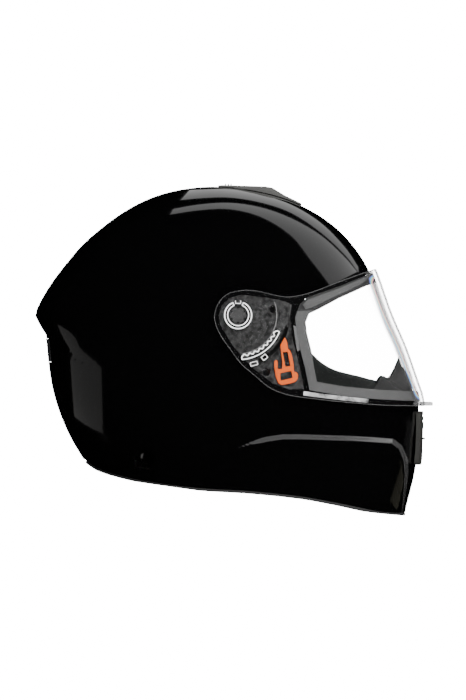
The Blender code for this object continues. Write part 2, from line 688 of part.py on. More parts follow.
def build_rear_vent_grille():
    """Slotted exhaust plate under the spoiler."""
    wide = GRILLE_HALF_WIDTH
    grille = keep(band(0.0006, -0.0017), block((-0.19, -wide, -0.040), (-0.12, wide, -0.020)))
    for row in range(4):
        z = -0.0365 + row * 0.0042
        cut(grille, block((-0.19, -wide + 0.004, z), (-0.12, wide - 0.004, z + 0.0018)))
    finish(grille, "rear_vent_grille", (0.03, 0.03, 0.03), 0.5)


# ---------------------------------------------------------------- chin strap

def rivet_frame(side):
    """The rivet's point on the shell's outside and the direction out of it."""
    x, z = RIVET_PLACE
    return Vector((x, side * dome_y(x, z), z)), dome_normal(x, z, side)


def build_strap_rivet(side, name):
    """Domed rivet through the shell and the anchor plate."""
    point, normal = rivet_frame(side)
    profile = [
        (0.0, -0.0109), (0.0045, -0.0109), (0.0045, -0.0096), (0.0025, -0.0096), (0.0025, 0.0004),
        (0.0065, 0.0004), (0.0063, 0.0011), (0.0048, 0.0019), (0.0026, 0.0023), (0.0, 0.0024),
    ]
    finish(turned(profile, point, normal, steps=20), name, (0.05, 0.05, 0.05), 0.3, metallic=0.6)


def build_strap_anchor(side, name):
    """Steel plate riveted inside the shell, with a slot for the webbing."""
    point, normal = rivet_frame(side)
    plate = block((-0.0155, -0.0135, 0.0), (0.0155, 0.009, 0.0018))
    cut(plate, turned([(0.0, -0.01), (0.0028, -0.01), (0.0028, 0.01), (0.0, 0.01)], (0, 0, 0), (0, 0, 1)))
    cut(plate, block((-0.0132, -0.0112, -0.01), (0.0132, -0.0078, 0.01)))
    forward = Vector((1, 0, 0))
    along = (forward - normal * forward.dot(normal)).normalized()
    upward = normal.cross(along)
    if upward.z < 0:
        upward, along = -upward, -along
    turn = Matrix((along, upward, normal)).transposed().to_4x4()
    plate.data.transform(Matrix.Translation(point - normal * 0.0092) @ turn)
    finish(plate, name, (0.5, 0.5, 0.52), 0.35, metallic=1.0)


def strap_point(y):
    """Middle of the webbing at y."""
    share = abs(y) / 0.088
    x = STRAP_CENTRE_X - 0.072 * share ** 1.6
    return Vector((x, y, STRAP_HEIGHT + 0.007 * share ** 4))


def strap_frames(side, start, end, count):
    """Frames along one half of the strap, with its width and its thickness directions."""
    frames = []
    for step in range(count):
        y = side * (start + (end - start) * step / (count - 1))
        along = (strap_point(y + side * 0.001) - strap_point(y - side * 0.001)).normalized()
        wide = along.cross(Vector((0, 0, 1))).normalized()
        frames.append((strap_point(y), wide, wide.cross(along).normalized()))
    return frames


def rectangle(width, height):
    """A centred rectangular profile."""
    return [(-width / 2, -height / 2), (width / 2, -height / 2), (width / 2, height / 2), (-width / 2, height / 2)]


def build_chin_strap(side, start, name):
    """One half of the webbing, from its anchor to the buckle."""
    webbing = swept(strap_frames(side, start, STRAP_END_Y, 14), rectangle(STRAP_WIDTH, STRAP_THICKNESS))
    finish(webbing, name, (0.03, 0.03, 0.03), 0.85)


def build_strap_sleeve(side, start, name):
    """Padded sleeve around the webbing."""
    sleeve = swept(strap_frames(side, start, SLEEVE_END_Y, 6), rectangle(0.031, 0.0075))
    cut(sleeve, swept(strap_frames(side, start - 0.004, SLEEVE_END_Y + 0.004, 8), rectangle(0.0258, 0.0026)))
    finish(sleeve, name, (0.03, 0.03, 0.03), 0.95)


def build_buckle():
    """Ratchet buckle: body, toothed tongue, lever, pin, spring and pull ribbon."""
    x, z = STRAP_CENTRE_X, STRAP_HEIGHT
    half = BUCKLE_WIDTH / 2
    body = block((x - half, BUCKLE_REAR_Y, z - 0.0062), (x + half, BUCKLE_FRONT_Y, z + 0.0036), bevel=0.0006)
    cut(body, block((x - half + 0.0015, -FAR, z - 0.01), (x + half - 0.0015, FAR, z + BUCKLE_FLOOR_TOP)))
    pin_hole = [(0.0, -0.02), (LEVER_PIN_RADIUS + GAP, -0.02), (LEVER_PIN_RADIUS + GAP, 0.02), (0.0, 0.02)]
    cut(body, turned(pin_hole, LEVER_PIVOT, (1, 0, 0), steps=16))
    finish(body, "buckle_body", (0.45, 0.45, 0.46), 0.35, metallic=1.0)

    radius = LEVER_PIN_RADIUS
    profile = [(0.0, -half - 0.0008), (radius, -half - 0.0008), (radius, half + 0.0008), (0.0, half + 0.0008)]
    pin = turned(profile, LEVER_PIVOT, (1, 0, 0), steps=16)
    finish(pin, "buckle_pin", (0.6, 0.6, 0.6), 0.3, metallic=1.0)

    inner = half - 0.0019
    lever = block((x - inner, -0.0145, z - 0.0058), (x + inner, 0.0185, z - 0.0042), bevel=0.0005)
    for edge in (-1, 1):
        low, high = sorted((x + edge * inner, x + edge * (inner - 0.0016)))
        join(lever, block((low, 0.0122, z - 0.0056), (high, 0.0180, z + 0.0002)))
    join(lever, block((x - 0.006, -0.0070, z - 0.0052), (x + 0.006, -0.0050, z - 0.0030)))
    cut(lever, turned(pin_hole, LEVER_PIVOT, (1, 0, 0), steps=16))
    cut(lever, block((x - 0.0092, -0.0132, z - 0.01), (x + 0.0092, -0.0106, z + 0.01)))
    finish(lever, "buckle_lever", (0.5, 0.5, 0.5), 0.35, metallic=1.0, origin=LEVER_PIVOT)

    end = Vector((0.0072, 0.0, 0.0))
    spring = coil(LEVER_PIVOT - end, LEVER_PIVOT + end, 0.0017, 0.0003, 5, "spring")
    finish(spring, "buckle_spring", (0.6, 0.6, 0.6), 0.3, metallic=1.0)

    tongue = block((x - 0.0095, -0.0500, z - 0.0011), (x + 0.0095, 0.0110, z + 0.0013), bevel=0.0004)
    for tooth in range(9):
        y = -0.0130 + tooth * 0.0024
        wedge = [(y, z - 0.0008), (y + 0.0018, z - 0.0008), (y + 0.0018, z - 0.0022)]
        ridge = prism([(-u, v) for u, v in wedge][::-1], -0.007, 0.007)
        ridge.data.transform(Matrix.Translation((x, 0, 0)) @ Matrix.Rotation(-math.pi / 2, 4, "Z"))
        join(tongue, ridge)
    finish(tongue, "ratchet_tongue", (0.03, 0.03, 0.03), 0.4)

    ribbon_path = [(-0.0155, -0.0050), (-0.0125, -0.0078), (-0.0210, -0.0085), (-0.0300, -0.0072), (-0.0360, -0.0066)]
    frames = []
    for y, drop in ribbon_path[1:]:
        frames.append((Vector((x, y, z + drop)), Vector((1, 0, 0)), Vector((0, 0, 1))))
    ribbon = swept(frames, rectangle(0.012, 0.0012))
    finish(ribbon, "pull_ribbon", (0.6, 0.03, 0.03), 0.8)


# ---------------------------------------------------------------- assembly

def make_stand():
    """The empty that every part hangs on."""
    stand = bpy.data.objects.new("stand", None)
    bpy.context.scene.collection.objects.link(stand)
    return stand


def stand_up(stand):
    """Tip the chin up, put the lower edge on z = 0 and centre the box on the origin."""
    slope = STANCE_FRONT - STANCE_REAR
    stand.rotation_euler = (0.0, math.atan2(slope.z, slope.x), 0.0)
    bpy.context.view_layer.update()
    corners = [
        child.matrix_world @ vert.co for child in stand.children for vert in child.data.vertices
    ]
    middle = (max(c.x for c in corners) + min(c.x for c in corners)) / 2
    stand.location = (-middle, 0.0, -min(c.z for c in corners))
    bpy.context.view_layer.update()


def main():
    """Build every part in turn."""
    clear_scene()
    stand = make_stand()
    build_outer_shell()
    build_base_edge_trim()
    build_eye_port_gasket()
    build_visor()
    build_crown_liner()
    build_comfort_liner()
    build_chin_liner()
    build_neck_roll()
    build_chin_curtain()
    build_breath_deflector()
    build_top_vent()
    build_chin_vent()
    build_rear_vent_grille()
    for side, word in ((LEFT, "left"), (RIGHT, "right")):
        build_base_plate(side, f"visor_base_plate_{word}")
        for number, place in enumerate(SCREW_PLACES, start=1):
            build_plate_screw(place, side, f"base_plate_screw_{word}_{number}")
        build_release_lever(side, f"release_lever_{word}")
        build_release_spring(side, f"release_spring_{word}")
        build_cheek_foam(side, f"cheek_foam_{word}")
        build_cheek_pad(side, f"cheek_pad_{word}")
        build_strap_rivet(side, f"strap_rivet_{word}")
        build_strap_anchor(side, f"strap_anchor_{word}")
    build_chin_strap(LEFT, LEFT_STRAP_START_Y, "chin_strap_left")
    build_chin_strap(RIGHT, RIGHT_STRAP_START_Y, "chin_strap_right")
    build_strap_sleeve(LEFT, 0.0380, "strap_sleeve_left")
    build_strap_sleeve(RIGHT, 0.0545, "strap_sleeve_right")
    build_buckle()
    stand_up(stand)


main()
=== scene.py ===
"""Looks of a full-face motorcycle helmet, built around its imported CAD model.

Everything is shaped in the worn frame, whose origin is the visor's pivot, with +X
forward, +Y to the wearer's left and +Z up, and is then stood up by one matrix that is
read from the joints. Lengths are metres.
"""

import json
import logging
import math
from bisect import bisect_right
from dataclasses import dataclass, field
from enum import Enum
from typing import Callable, Iterable, Sequence

import bmesh
import bpy
from mathutils import Matrix, Vector


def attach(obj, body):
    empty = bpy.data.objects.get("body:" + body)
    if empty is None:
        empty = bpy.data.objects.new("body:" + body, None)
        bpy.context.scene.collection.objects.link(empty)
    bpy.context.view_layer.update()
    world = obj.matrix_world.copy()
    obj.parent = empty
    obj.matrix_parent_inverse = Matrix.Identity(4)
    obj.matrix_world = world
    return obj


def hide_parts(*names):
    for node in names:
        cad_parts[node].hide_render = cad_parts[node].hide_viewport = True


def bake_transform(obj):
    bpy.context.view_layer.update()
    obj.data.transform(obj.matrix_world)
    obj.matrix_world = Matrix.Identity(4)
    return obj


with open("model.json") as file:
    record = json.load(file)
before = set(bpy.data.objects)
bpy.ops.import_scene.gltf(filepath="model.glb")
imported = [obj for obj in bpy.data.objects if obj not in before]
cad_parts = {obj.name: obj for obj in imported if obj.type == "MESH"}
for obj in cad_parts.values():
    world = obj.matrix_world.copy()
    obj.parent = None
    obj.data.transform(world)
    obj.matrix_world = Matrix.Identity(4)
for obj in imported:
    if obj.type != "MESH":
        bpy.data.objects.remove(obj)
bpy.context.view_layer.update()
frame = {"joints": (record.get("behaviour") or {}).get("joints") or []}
LOG = logging.getLogger("helmet")

Point = tuple[float, float]
Colour = tuple[float, float, float]
Frame = tuple[Vector, Vector, Vector]
Item = bpy.types.Object
Mesh = bmesh.types.BMesh
Tree = bpy.types.NodeTree
Node = bpy.types.Node
Socket = bpy.types.NodeSocket
FAR = 0.2
ANGLE_SHARP = math.radians(35.0)


class Side(Enum):
    """The wearer's two sides."""

    LEFT = 1
    RIGHT = -1

    @property
    def word(self) -> str:
        """The side's name as it stands in node names."""
        return self.name.lower()

    def span(self, low: float, high: float) -> Point:
        """The y range from low to high on this side, in increasing order."""
        return (low, high) if self is Side.LEFT else (-high, -low)


# ------------------------------------------------------------------ form


def smooth_through(knots: Sequence[Point], position: float) -> float:
    """Read a smooth curve through sorted knots.

    Args:
        knots: (position, value) pairs in increasing order.
        position: Where to read the curve.

    Returns:
        The curve's value there.
    """
    index = max(0, min(len(knots) - 2, bisect_right(knots, (position, math.inf)) - 1))

    def slope(place: int) -> float:
        """Slope at one knot, from its neighbours."""
        before = knots[max(0, place - 1)]
        after = knots[min(len(knots) - 1, place + 1)]
        return (after[1] - before[1]) / (after[0] - before[0])

    (start, low), (end, high) = knots[index], knots[index + 1]
    span = end - start
    part = (position - start) / span
    square, cube = part * part, part**3
    rising = (cube - 2 * square + part) * span * slope(index)
    falling = (cube - square) * span * slope(index + 1)
    return (2 * cube - 3 * square + 1) * low + rising + (3 * square - 2 * cube) * high + falling


def ease(value: float) -> float:
    """Smooth step from 0 to 1."""
    value = max(0.0, min(1.0, value))
    return value * value * (3.0 - 2.0 * value)


@dataclass(frozen=True)
class FeatureLine:
    """A line on the shell's side along which its surface steps up.

    The surface is higher on the left of the line's direction. Of the step's height,
    rise is the part that lifts the high side; the rest lowers the other side.
    """

    points: tuple[Point, ...]
    heights: tuple[float, ...]
    width: float
    spread: float
    rise: float = 0.0
    fillet: float = 0.0006

    def nearest(self, x: float, z: float) -> tuple[float, float]:
        """Find the nearest place on the line.

        Args:
            x: Forward place in the side view.
            z: Upward place in the side view.

        Returns:
            Signed distance (positive on the raised side) and the step's height there.
        """
        best, found = math.inf, (math.inf, 0.0)
        for index in range(len(self.points) - 1):
            (ax, az), (bx, bz) = self.points[index], self.points[index + 1]
            dx, dz = bx - ax, bz - az
            part = ((x - ax) * dx + (z - az) * dz) / (dx * dx + dz * dz)
            part = max(0.0, min(1.0, part))
            away_x, away_z = x - ax - part * dx, z - az - part * dz
            gap = math.hypot(away_x, away_z)
            if gap < best:
                best = gap
                side = 1.0 if dx * away_z - dz * away_x >= 0.0 else -1.0
                height = self.heights[index] * (1.0 - part) + self.heights[index + 1] * part
                found = (side * gap, height)
        return found

    def near(self, x: float, z: float) -> bool:
        """Whether the line may move the surface at a place in the side view."""
        return abs(self.nearest(x, z)[0]) < 2.6 * self.spread + 0.006

    def lift(self, x: float, z: float) -> float:
        """How far the line raises or lowers the surface at a place in the side view."""
        distance, height = self.nearest(x, z)
        if abs(distance) > 2.6 * self.spread or height == 0.0:
            return 0.0
        over = math.hypot(distance + self.width, self.fillet) - math.hypot(distance - self.width, self.fillet)
        level = over / (4.0 * self.width) - 0.5 + self.rise
        return height * level * math.exp(-((distance / self.spread) ** 2))


@dataclass(frozen=True)
class HelmetForm:
    """The closed form that the shell, visor and liners are taken from."""

    outline: tuple[Point, ...]
    half_width: float = 0.122
    side_power: float = 2.5
    width_power: float = 2.2
    lines: tuple[FeatureLine, ...] = ()
    knots: list[Point] = field(default_factory=list)

    def __post_init__(self) -> None:
        """Work out the outline's (angle, radius) knots, repeated past both ends."""
        round_trip = sorted((math.atan2(z, x) % math.tau, math.hypot(x, z)) for x, z in self.outline)
        self.knots.extend((angle - math.tau, radius) for angle, radius in round_trip[-3:])
        self.knots.extend(round_trip)
        self.knots.extend((angle + math.tau, radius) for angle, radius in round_trip[:3])

    def radius(self, angle: float, share: float = 1.0) -> float:
        """Radius of the side outline; the rear spoiler fades in towards the centre line."""
        angle %= math.tau
        plain = smooth_through(self.knots, angle)
        fade = max(0.0, (share - 0.75) / 0.25)
        if fade == 0.0:
            return plain
        if angle < SPOILER_PEAK:
            near = max(0.0, 1.0 - (SPOILER_PEAK - angle) / SPOILER_RISE) ** 1.6
            return plain + SPOILER_HEIGHT * near * fade
        fall = SPOILER_FALL + math.radians(14.0) * (1.0 - min(1.0, share)) / 0.25
        along = min(1.0, (angle - SPOILER_PEAK) / fall)
        return plain + SPOILER_HEIGHT * (1.0 - along ** (1.0 + 2.0 * (1.0 - min(1.0, share)) / 0.25)) * fade

    def share(self, x: float, z: float, grow: float = 0.0) -> float:
        """Distance from the pivot as a share of the outline's radius."""
        angle, reach = math.atan2(z, x), math.hypot(x, z)
        share = reach / (self.radius(angle, 0.0) + grow)
        if share > 0.75:
            for _ in range(3):
                share = reach / (self.radius(angle, share) + grow)
        return share

    def width_at(self, x: float, z: float, grow: float = 0.0) -> float:
        """Half width of the form over a point of the side view."""
        left = 1.0 - min(1.0, self.share(x, z, grow)) ** self.side_power
        return (self.half_width + grow) * left ** (1.0 / self.width_power)

    def level(self, place: Vector, grow: float = 0.0) -> float:
        """How far out a place lies, 1 being on the surface."""
        across = abs(place.y) / (self.half_width + grow)
        return self.share(place.x, place.z, grow) ** self.side_power + across**self.width_power

    def slope(self, point: Vector, grow: float = 0.0) -> Vector:
        """How fast the level rises along each axis."""
        step = 0.0004
        slopes = []
        for axis in range(3):
            shift = Vector((0.0, 0.0, 0.0))
            shift[axis] = step
            slopes.append((self.level(point + shift, grow) - self.level(point - shift, grow)) / (2 * step))
        return Vector(slopes)

    def normal(self, point: Vector) -> Vector:
        """Outward direction of the form near a point on its surface."""
        return self.slope(point).normalized()

    def lift(self, x: float, z: float) -> float:
        """Height of the shell's relief over a place in the side view."""
        return sum(line.lift(x, z) for line in self.lines)

    def relief_normal(self, point: Vector) -> Vector:
        """Outward direction of the surface with its relief."""
        step = 0.0003
        forward = (self.lift(point.x + step, point.z) - self.lift(point.x - step, point.z)) / (2 * step)
        upward = (self.lift(point.x, point.z + step) - self.lift(point.x, point.z - step)) / (2 * step)
        return (self.normal(point) - Vector((forward, 0.0, upward))).normalized()

    def place(self, ball: Vector, grow: float, relief: bool = False) -> Vector:
        """Carry a point of the unit ball, with its poles on Z, to the form's surface.

        Args:
            ball: A point on the unit ball.
            grow: How far outside the form the surface lies.
            relief: Whether the feature lines raise the surface.

        Returns:
            The point on the surface in the worn frame.
        """
        angle = math.atan2(ball.y, ball.x)
        share = math.hypot(ball.x, ball.y) ** (2.0 / self.side_power)
        reach = (self.radius(angle, share) + grow) * share
        sideways = (self.half_width + grow) * abs(ball.z) ** (2.0 / self.width_power)
        point = Vector((reach * math.cos(angle), -math.copysign(sideways, ball.z), reach * math.sin(angle)))
        if not relief or not any(line.near(point.x, point.z) for line in self.lines):
            return point
        outward = self.normal(point)
        low, high = -0.005, 0.005
        for _ in range(10):
            rise = (low + high) / 2.0
            here = point + outward * rise
            if self.lift(here.x, here.z) > rise:
                low = rise
            else:
                high = rise
        return point + outward * (low + high) / 2.0


SPOILER_PEAK = math.radians(179.5)
SPOILER_RISE = math.radians(19.5)
SPOILER_FALL = math.radians(6.0)
SPOILER_HEIGHT = 0.010

JAW_LEDGE = FeatureLine(
    points=((0.141, -0.185), (0.1438, -0.1640), (0.1451, -0.1526), (0.1465, -0.1377), (0.1456, -0.1254),
            (0.1408, -0.1141), (0.1333, -0.1085), (0.1158, -0.1070), (0.0982, -0.1058), (0.0544, -0.1042),
            (0.0386, -0.1042), (0.0246, -0.1062), (0.0105, -0.1098), (-0.006, -0.1160)),
    heights=(0.0, 0.0012, 0.0020, 0.0026, 0.0032, 0.0040, 0.0044, 0.0044, 0.0044, 0.0044, 0.0044, 0.0036,
             0.0016, 0.0),
    width=0.0021,
    spread=0.020,
    rise=0.45,
)
FORM = HelmetForm(
    outline=(
        (0.1314, -0.0039), (0.1236, 0.016), (0.112, 0.045), (0.0895, 0.074), (0.055, 0.097),
        (0.011, 0.110), (-0.032, 0.113), (-0.074, 0.1044), (-0.116, 0.080), (-0.144, 0.054),
        (-0.162, 0.024), (-0.1685, 0.0), (-0.167, -0.030), (-0.161, -0.070), (-0.146, -0.108),
        (-0.134, -0.128), (-0.108, -0.163), (-0.062, -0.207), (0.0, -0.240), (0.070, -0.240),
        (0.118, -0.218), (0.143, -0.185), (0.149, -0.164), (0.157, -0.132), (0.1585, -0.110),
        (0.1585, -0.084), (0.157, -0.0683), (0.1508, -0.051), (0.1426, -0.0288),
    ),
    lines=(JAW_LEDGE,),
)


def standing_matrix() -> Matrix:
    """The matrix that carries the worn frame to the frame's own, read from the joints."""
    joints = {joint["name"]: joint for joint in frame["joints"]}
    forward = Vector(joints["top_vent_slide"]["axis"]).normalized()
    across = Vector((0.0, 1.0, 0.0))
    turn = Matrix((forward, across, forward.cross(across))).transposed().to_4x4()
    return Matrix.Translation(Vector(joints["visor_hinge"]["pos_m"])) @ turn


STAND = standing_matrix()
REFINED_REACH = 0.0075

# ------------------------------------------------------------------ mesh tools


def to_object(name: str, mesh: Mesh) -> Item:
    """Turn a bmesh, closed and facing outwards, into a smooth-shaded scene object."""
    bmesh.ops.recalc_face_normals(mesh, faces=mesh.faces)
    closed = not any(edge.is_boundary for edge in mesh.edges)
    if closed and mesh.calc_volume(signed=True) < 0.0:
        bmesh.ops.reverse_faces(mesh, faces=mesh.faces)
    data = bpy.data.meshes.new(name)
    mesh.to_mesh(data)
    mesh.free()
    item = bpy.data.objects.new(name, data)
    bpy.context.scene.collection.objects.link(item)
    return item


def edit(item: Item, work: Callable[[Mesh], None]) -> Item:
    """Run one piece of bmesh work on an object's mesh."""
    mesh = bmesh.new()
    mesh.from_mesh(item.data)
    work(mesh)
    mesh.to_mesh(item.data)
    mesh.free()
    return item


def reshape(item: Item, move: Callable[[Vector], Vector]) -> Item:
    """Move every point of an object by a formula."""
    for vert in item.data.vertices:
        vert.co = move(vert.co)
    item.data.update()
    return item


def refine(mesh: Mesh) -> None:
    """Split the unit ball's faces where feature lines cross them."""
    reach = REFINED_REACH
    for _ in range(2):
        near = []
        for edge in mesh.edges:
            middle = (edge.verts[0].co + edge.verts[1].co).normalized()
            spot = FORM.place(middle, 0.0)
            if any(abs(gap) < reach and height > 0.0
                   for gap, height in (line.nearest(spot.x, spot.z) for line in FORM.lines)):
                near.append(edge)
        bmesh.ops.subdivide_edges(mesh, edges=near, cuts=1, use_grid_fill=True)
        reach *= 0.72
    for vert in mesh.verts:
        vert.co.normalize()
    bmesh.ops.triangulate(mesh, faces=[face for face in mesh.faces if len(face.verts) > 4])


def dome(grow: float, segments: int, relief: bool = False) -> Item:
    """The closed form as a fine mesh.

    Args:
        grow: How far outside the form the surface lies.
        segments: Number of faces round the side outline.
        relief: Whether the feature lines raise the surface.

    Returns:
        The closed surface.
    """
    mesh = bmesh.new()
    bmesh.ops.create_uvsphere(mesh, u_segments=segments, v_segments=segments // 2, radius=1.0)
    if relief:
        refine(mesh)
    for vert in mesh.verts:
        vert.co = FORM.place(vert.co, grow, relief)
    return to_object("dome", mesh)


def egg(radii: Vector, centre: Vector, segments: int = 96) -> Item:
    """An ellipsoid with its poles on Z."""
    mesh = bmesh.new()
    bmesh.ops.create_uvsphere(mesh, u_segments=segments, v_segments=segments // 2, radius=1.0)
    place = Matrix.Translation(centre) @ Matrix.Diagonal(radii).to_4x4()
    bmesh.ops.transform(mesh, matrix=place, verts=mesh.verts)
    return to_object("egg", mesh)


def prism(outline: Sequence[Point], low: float, high: float, corner: float = 0.0) -> Item:
    """A side view outline extruded along Y.

    Args:
        outline: Corners in the side view.
        low: Lower end on Y.
        high: Upper end on Y.
        corner: Radius that rounds every corner of the outline.

    Returns:
        The closed solid.
    """
    mesh = bmesh.new()
    face = mesh.faces.new([mesh.verts.new((x, low, z)) for x, z in outline])
    if corner:
        bmesh.ops.bevel(mesh, geom=list(mesh.verts), offset=corner, segments=4, profile=0.5,
                        affect="VERTICES", material=-1)
        face = mesh.faces[:][0]
    grown = bmesh.ops.extrude_face_region(mesh, geom=[face])
    moved = [item for item in grown["geom"] if isinstance(item, bmesh.types.BMVert)]
    bmesh.ops.translate(mesh, verts=moved, vec=(0.0, high - low, 0.0))
    return to_object("prism", mesh)


def block(low: Sequence[float], high: Sequence[float], bevel: float = 0.0, segments: int = 2) -> Item:
    """A box between two corners, with rounded edges."""
    mesh = bmesh.new()
    bmesh.ops.create_cube(mesh, size=1.0)
    size = Vector(high) - Vector(low)
    place = Matrix.Translation((Vector(high) + Vector(low)) / 2) @ Matrix.Diagonal(size).to_4x4()
    bmesh.ops.transform(mesh, matrix=place, verts=mesh.verts)
    if bevel:
        bmesh.ops.bevel(mesh, geom=list(mesh.edges), offset=bevel, segments=segments, profile=0.5,
                        affect="EDGES", material=-1)
    return to_object("block", mesh)


def turned(profile: Sequence[Point], origin: Sequence[float], axis: Sequence[float],
           steps: int = 48) -> Item:
    """A profile of (radius, height) corners spun about an axis through origin."""
    mesh = bmesh.new()
    corners = [mesh.verts.new((radius, 0.0, height)) for radius, height in profile]
    edges = [mesh.edges.new(pair) for pair in zip(corners, corners[1:])]
    if profile[0][0] > 0.0 and profile[-1][0] > 0.0:
        edges.append(mesh.edges.new((corners[-1], corners[0])))
    bmesh.ops.spin(mesh, geom=corners + edges, cent=(0, 0, 0), axis=(0, 0, 1), angle=math.tau,
                   steps=steps, use_merge=True)
    bmesh.ops.remove_doubles(mesh, verts=mesh.verts, dist=1e-6)
    turn = Vector((0, 0, 1)).rotation_difference(Vector(axis)).to_matrix().to_4x4()
    bmesh.ops.transform(mesh, matrix=Matrix.Translation(Vector(origin)) @ turn, verts=mesh.verts)
    return to_object("turned", mesh)


def carried(frames: Sequence[Frame], profile: Sequence[Point], closed: bool = False) -> Item:
    """Carry a closed profile along a path, with its UV running across and along.

    Args:
        frames: (origin, out, up) at each station of the path.
        profile: (out, up) corners of the section.
        closed: Whether the path ends where it starts.

    Returns:
        The closed solid.
    """
    mesh = bmesh.new()
    mesh.loops.layers.uv.new("UVMap")
    stations = list(frames) + ([frames[0]] if closed else [])
    section = list(profile) + [profile[0]]
    columns, rows = len(section) - 1, len(stations) - 1
    bmesh.ops.create_grid(mesh, x_segments=columns, y_segments=rows, size=1.0, calc_uvs=True)
    for vert in mesh.verts:
        out, up = section[round((vert.co.x + 1.0) / 2.0 * columns)]
        origin, outward, upward = stations[round((vert.co.y + 1.0) / 2.0 * rows)]
        vert.co = origin + outward * out + upward * up
    bmesh.ops.remove_doubles(mesh, verts=mesh.verts, dist=1e-6)
    if not closed:
        bmesh.ops.holes_fill(mesh, edges=[edge for edge in mesh.edges if edge.is_boundary])
    return to_object("carried", mesh)


def rounded(width: float, height: float, radius: float, steps: int = 3) -> list[Point]:
    """A centred rectangle with round corners, as a section."""
    corners = []
    for quarter, (sx, sy) in enumerate(((1, 1), (-1, 1), (-1, -1), (1, -1))):
        centre_x, centre_y = sx * (width / 2 - radius), sy * (height / 2 - radius)
        for step in range(steps + 1):
            angle = math.tau / 4 * (quarter + step / steps)
            corners.append((centre_x + radius * math.cos(angle), centre_y + radius * math.sin(angle)))
    return corners


def combine(target: Item, tool: Item, operation: str) -> Item:
    """Apply one exact Boolean and remove the tool."""
    modifier = target.modifiers.new("combine", "BOOLEAN")
    modifier.operation = operation
    modifier.solver = "EXACT"
    modifier.object = tool
    depsgraph = bpy.context.evaluated_depsgraph_get()
    result = bpy.data.meshes.new_from_object(target.evaluated_get(depsgraph))
    target.modifiers.clear()
    old = target.data
    target.data = result
    bpy.data.meshes.remove(old)
    bpy.data.objects.remove(tool, do_unlink=True)
    return target


def cut(target: Item, *tools: Item) -> Item:
    """Take each tool's volume away."""
    for tool in tools:
        combine(target, tool, "DIFFERENCE")
    return target


def keep(target: Item, *tools: Item) -> Item:
    """Keep only what lies inside each tool."""
    for tool in tools:
        combine(target, tool, "INTERSECT")
    return target


def merge(target: Item, *others: Item) -> Item:
    """Put other objects' meshes into the target's, as separate bodies."""
    mesh = bmesh.new()
    mesh.from_mesh(target.data)
    for other in others:
        mesh.from_mesh(other.data)
        bpy.data.objects.remove(other, do_unlink=True)
    mesh.to_mesh(target.data)
    mesh.free()
    return target


def band(outer: float, inner: float, segments: int = 96) -> Item:
    """The layer of the form between two amounts of growth."""
    return cut(dome(outer, segments), dome(inner, segments))


def inset(outline: Sequence[Point], distance: float) -> list[Point]:
    """A counterclockwise outline moved inwards by distance, or outwards if negative."""
    moved = []
    for index, point in enumerate(outline):
        here = Vector(point)
        arrive = (here - Vector(outline[index - 1])).normalized()
        leave = (Vector(outline[(index + 1) % len(outline)]) - here).normalized()
        normal = Vector((-arrive.y - leave.y, arrive.x + leave.x)).normalized()
        reach = distance / max(0.3, normal.dot(Vector((-leave.y, leave.x))))
        moved.append(tuple(here + normal * reach))
    return moved


def gridded(item: Item, pitch: float) -> Item:
    """Cut a flat solid by evenly spaced planes, so that it can bend."""

    def slice_up(mesh: Mesh) -> None:
        """Bisect along X and along Z."""
        for axis in (0, 2):
            places = [vert.co[axis] for vert in mesh.verts]
            count = int((max(places) - min(places)) / pitch)
            normal = Vector((0.0, 0.0, 0.0))
            normal[axis] = 1.0
            for step in range(1, count + 1):
                spot = normal * (min(places) + step * pitch)
                geometry = list(mesh.verts) + list(mesh.edges) + list(mesh.faces)
                bmesh.ops.bisect_plane(mesh, geom=geometry, plane_co=spot, plane_no=normal, dist=1e-6)

    return edit(item, slice_up)


def soften(item: Item, width: float, segments: int = 2) -> Item:
    """Round the sharp edges of a clean solid."""

    def work(mesh: Mesh) -> None:
        """Bevel every edge that turns by more than 40 degrees."""
        sharp = [edge for edge in mesh.edges
                 if len(edge.link_faces) == 2 and edge.calc_face_angle(0.0) > math.radians(40.0)]
        bmesh.ops.bevel(mesh, geom=sharp, offset=width, segments=segments, profile=0.5, affect="EDGES",
                        material=-1, clamp_overlap=True)

    return edit(item, work)


def wrapped(item: Item, side: Side, base: float) -> Item:
    """Bend a flat solid, whose Y is its height, onto one side of the form."""
    reshape(item, lambda co: Vector((co.x, side.value * (FORM.width_at(co.x, co.z, base) + co.y), co.z)))
    if side is Side.RIGHT:
        item.data.flip_normals()
    return item


def curve_points(corners: Sequence[Point], pitch: float) -> list[Point]:
    """Points close together on a smooth curve through corners of the side view."""
    lengths = [0.0]
    for first, second in zip(corners, corners[1:]):
        lengths.append(lengths[-1] + math.dist(first, second))
    xs = [(length, corner[0]) for length, corner in zip(lengths, corners)]
    zs = [(length, corner[1]) for length, corner in zip(lengths, corners)]
    count = max(2, int(lengths[-1] / pitch))
    stations = [lengths[-1] * step / count for step in range(count + 1)]
    return [(smooth_through(xs, station), smooth_through(zs, station)) for station in stations]


def even_out(points: Sequence[Vector], count: int) -> list[Vector]:
    """Resample a path into count even steps."""
    lengths = [0.0]
    for first, second in zip(points, points[1:]):
        lengths.append(lengths[-1] + (second - first).length)
    result, place = [], 0
    for step in range(count + 1):
        goal = lengths[-1] * step / count
        while place < len(points) - 2 and lengths[place + 1] < goal:
            place += 1
        part = (goal - lengths[place]) / max(1e-12, lengths[place + 1] - lengths[place])
        result.append(points[place].lerp(points[place + 1], part))
    return result


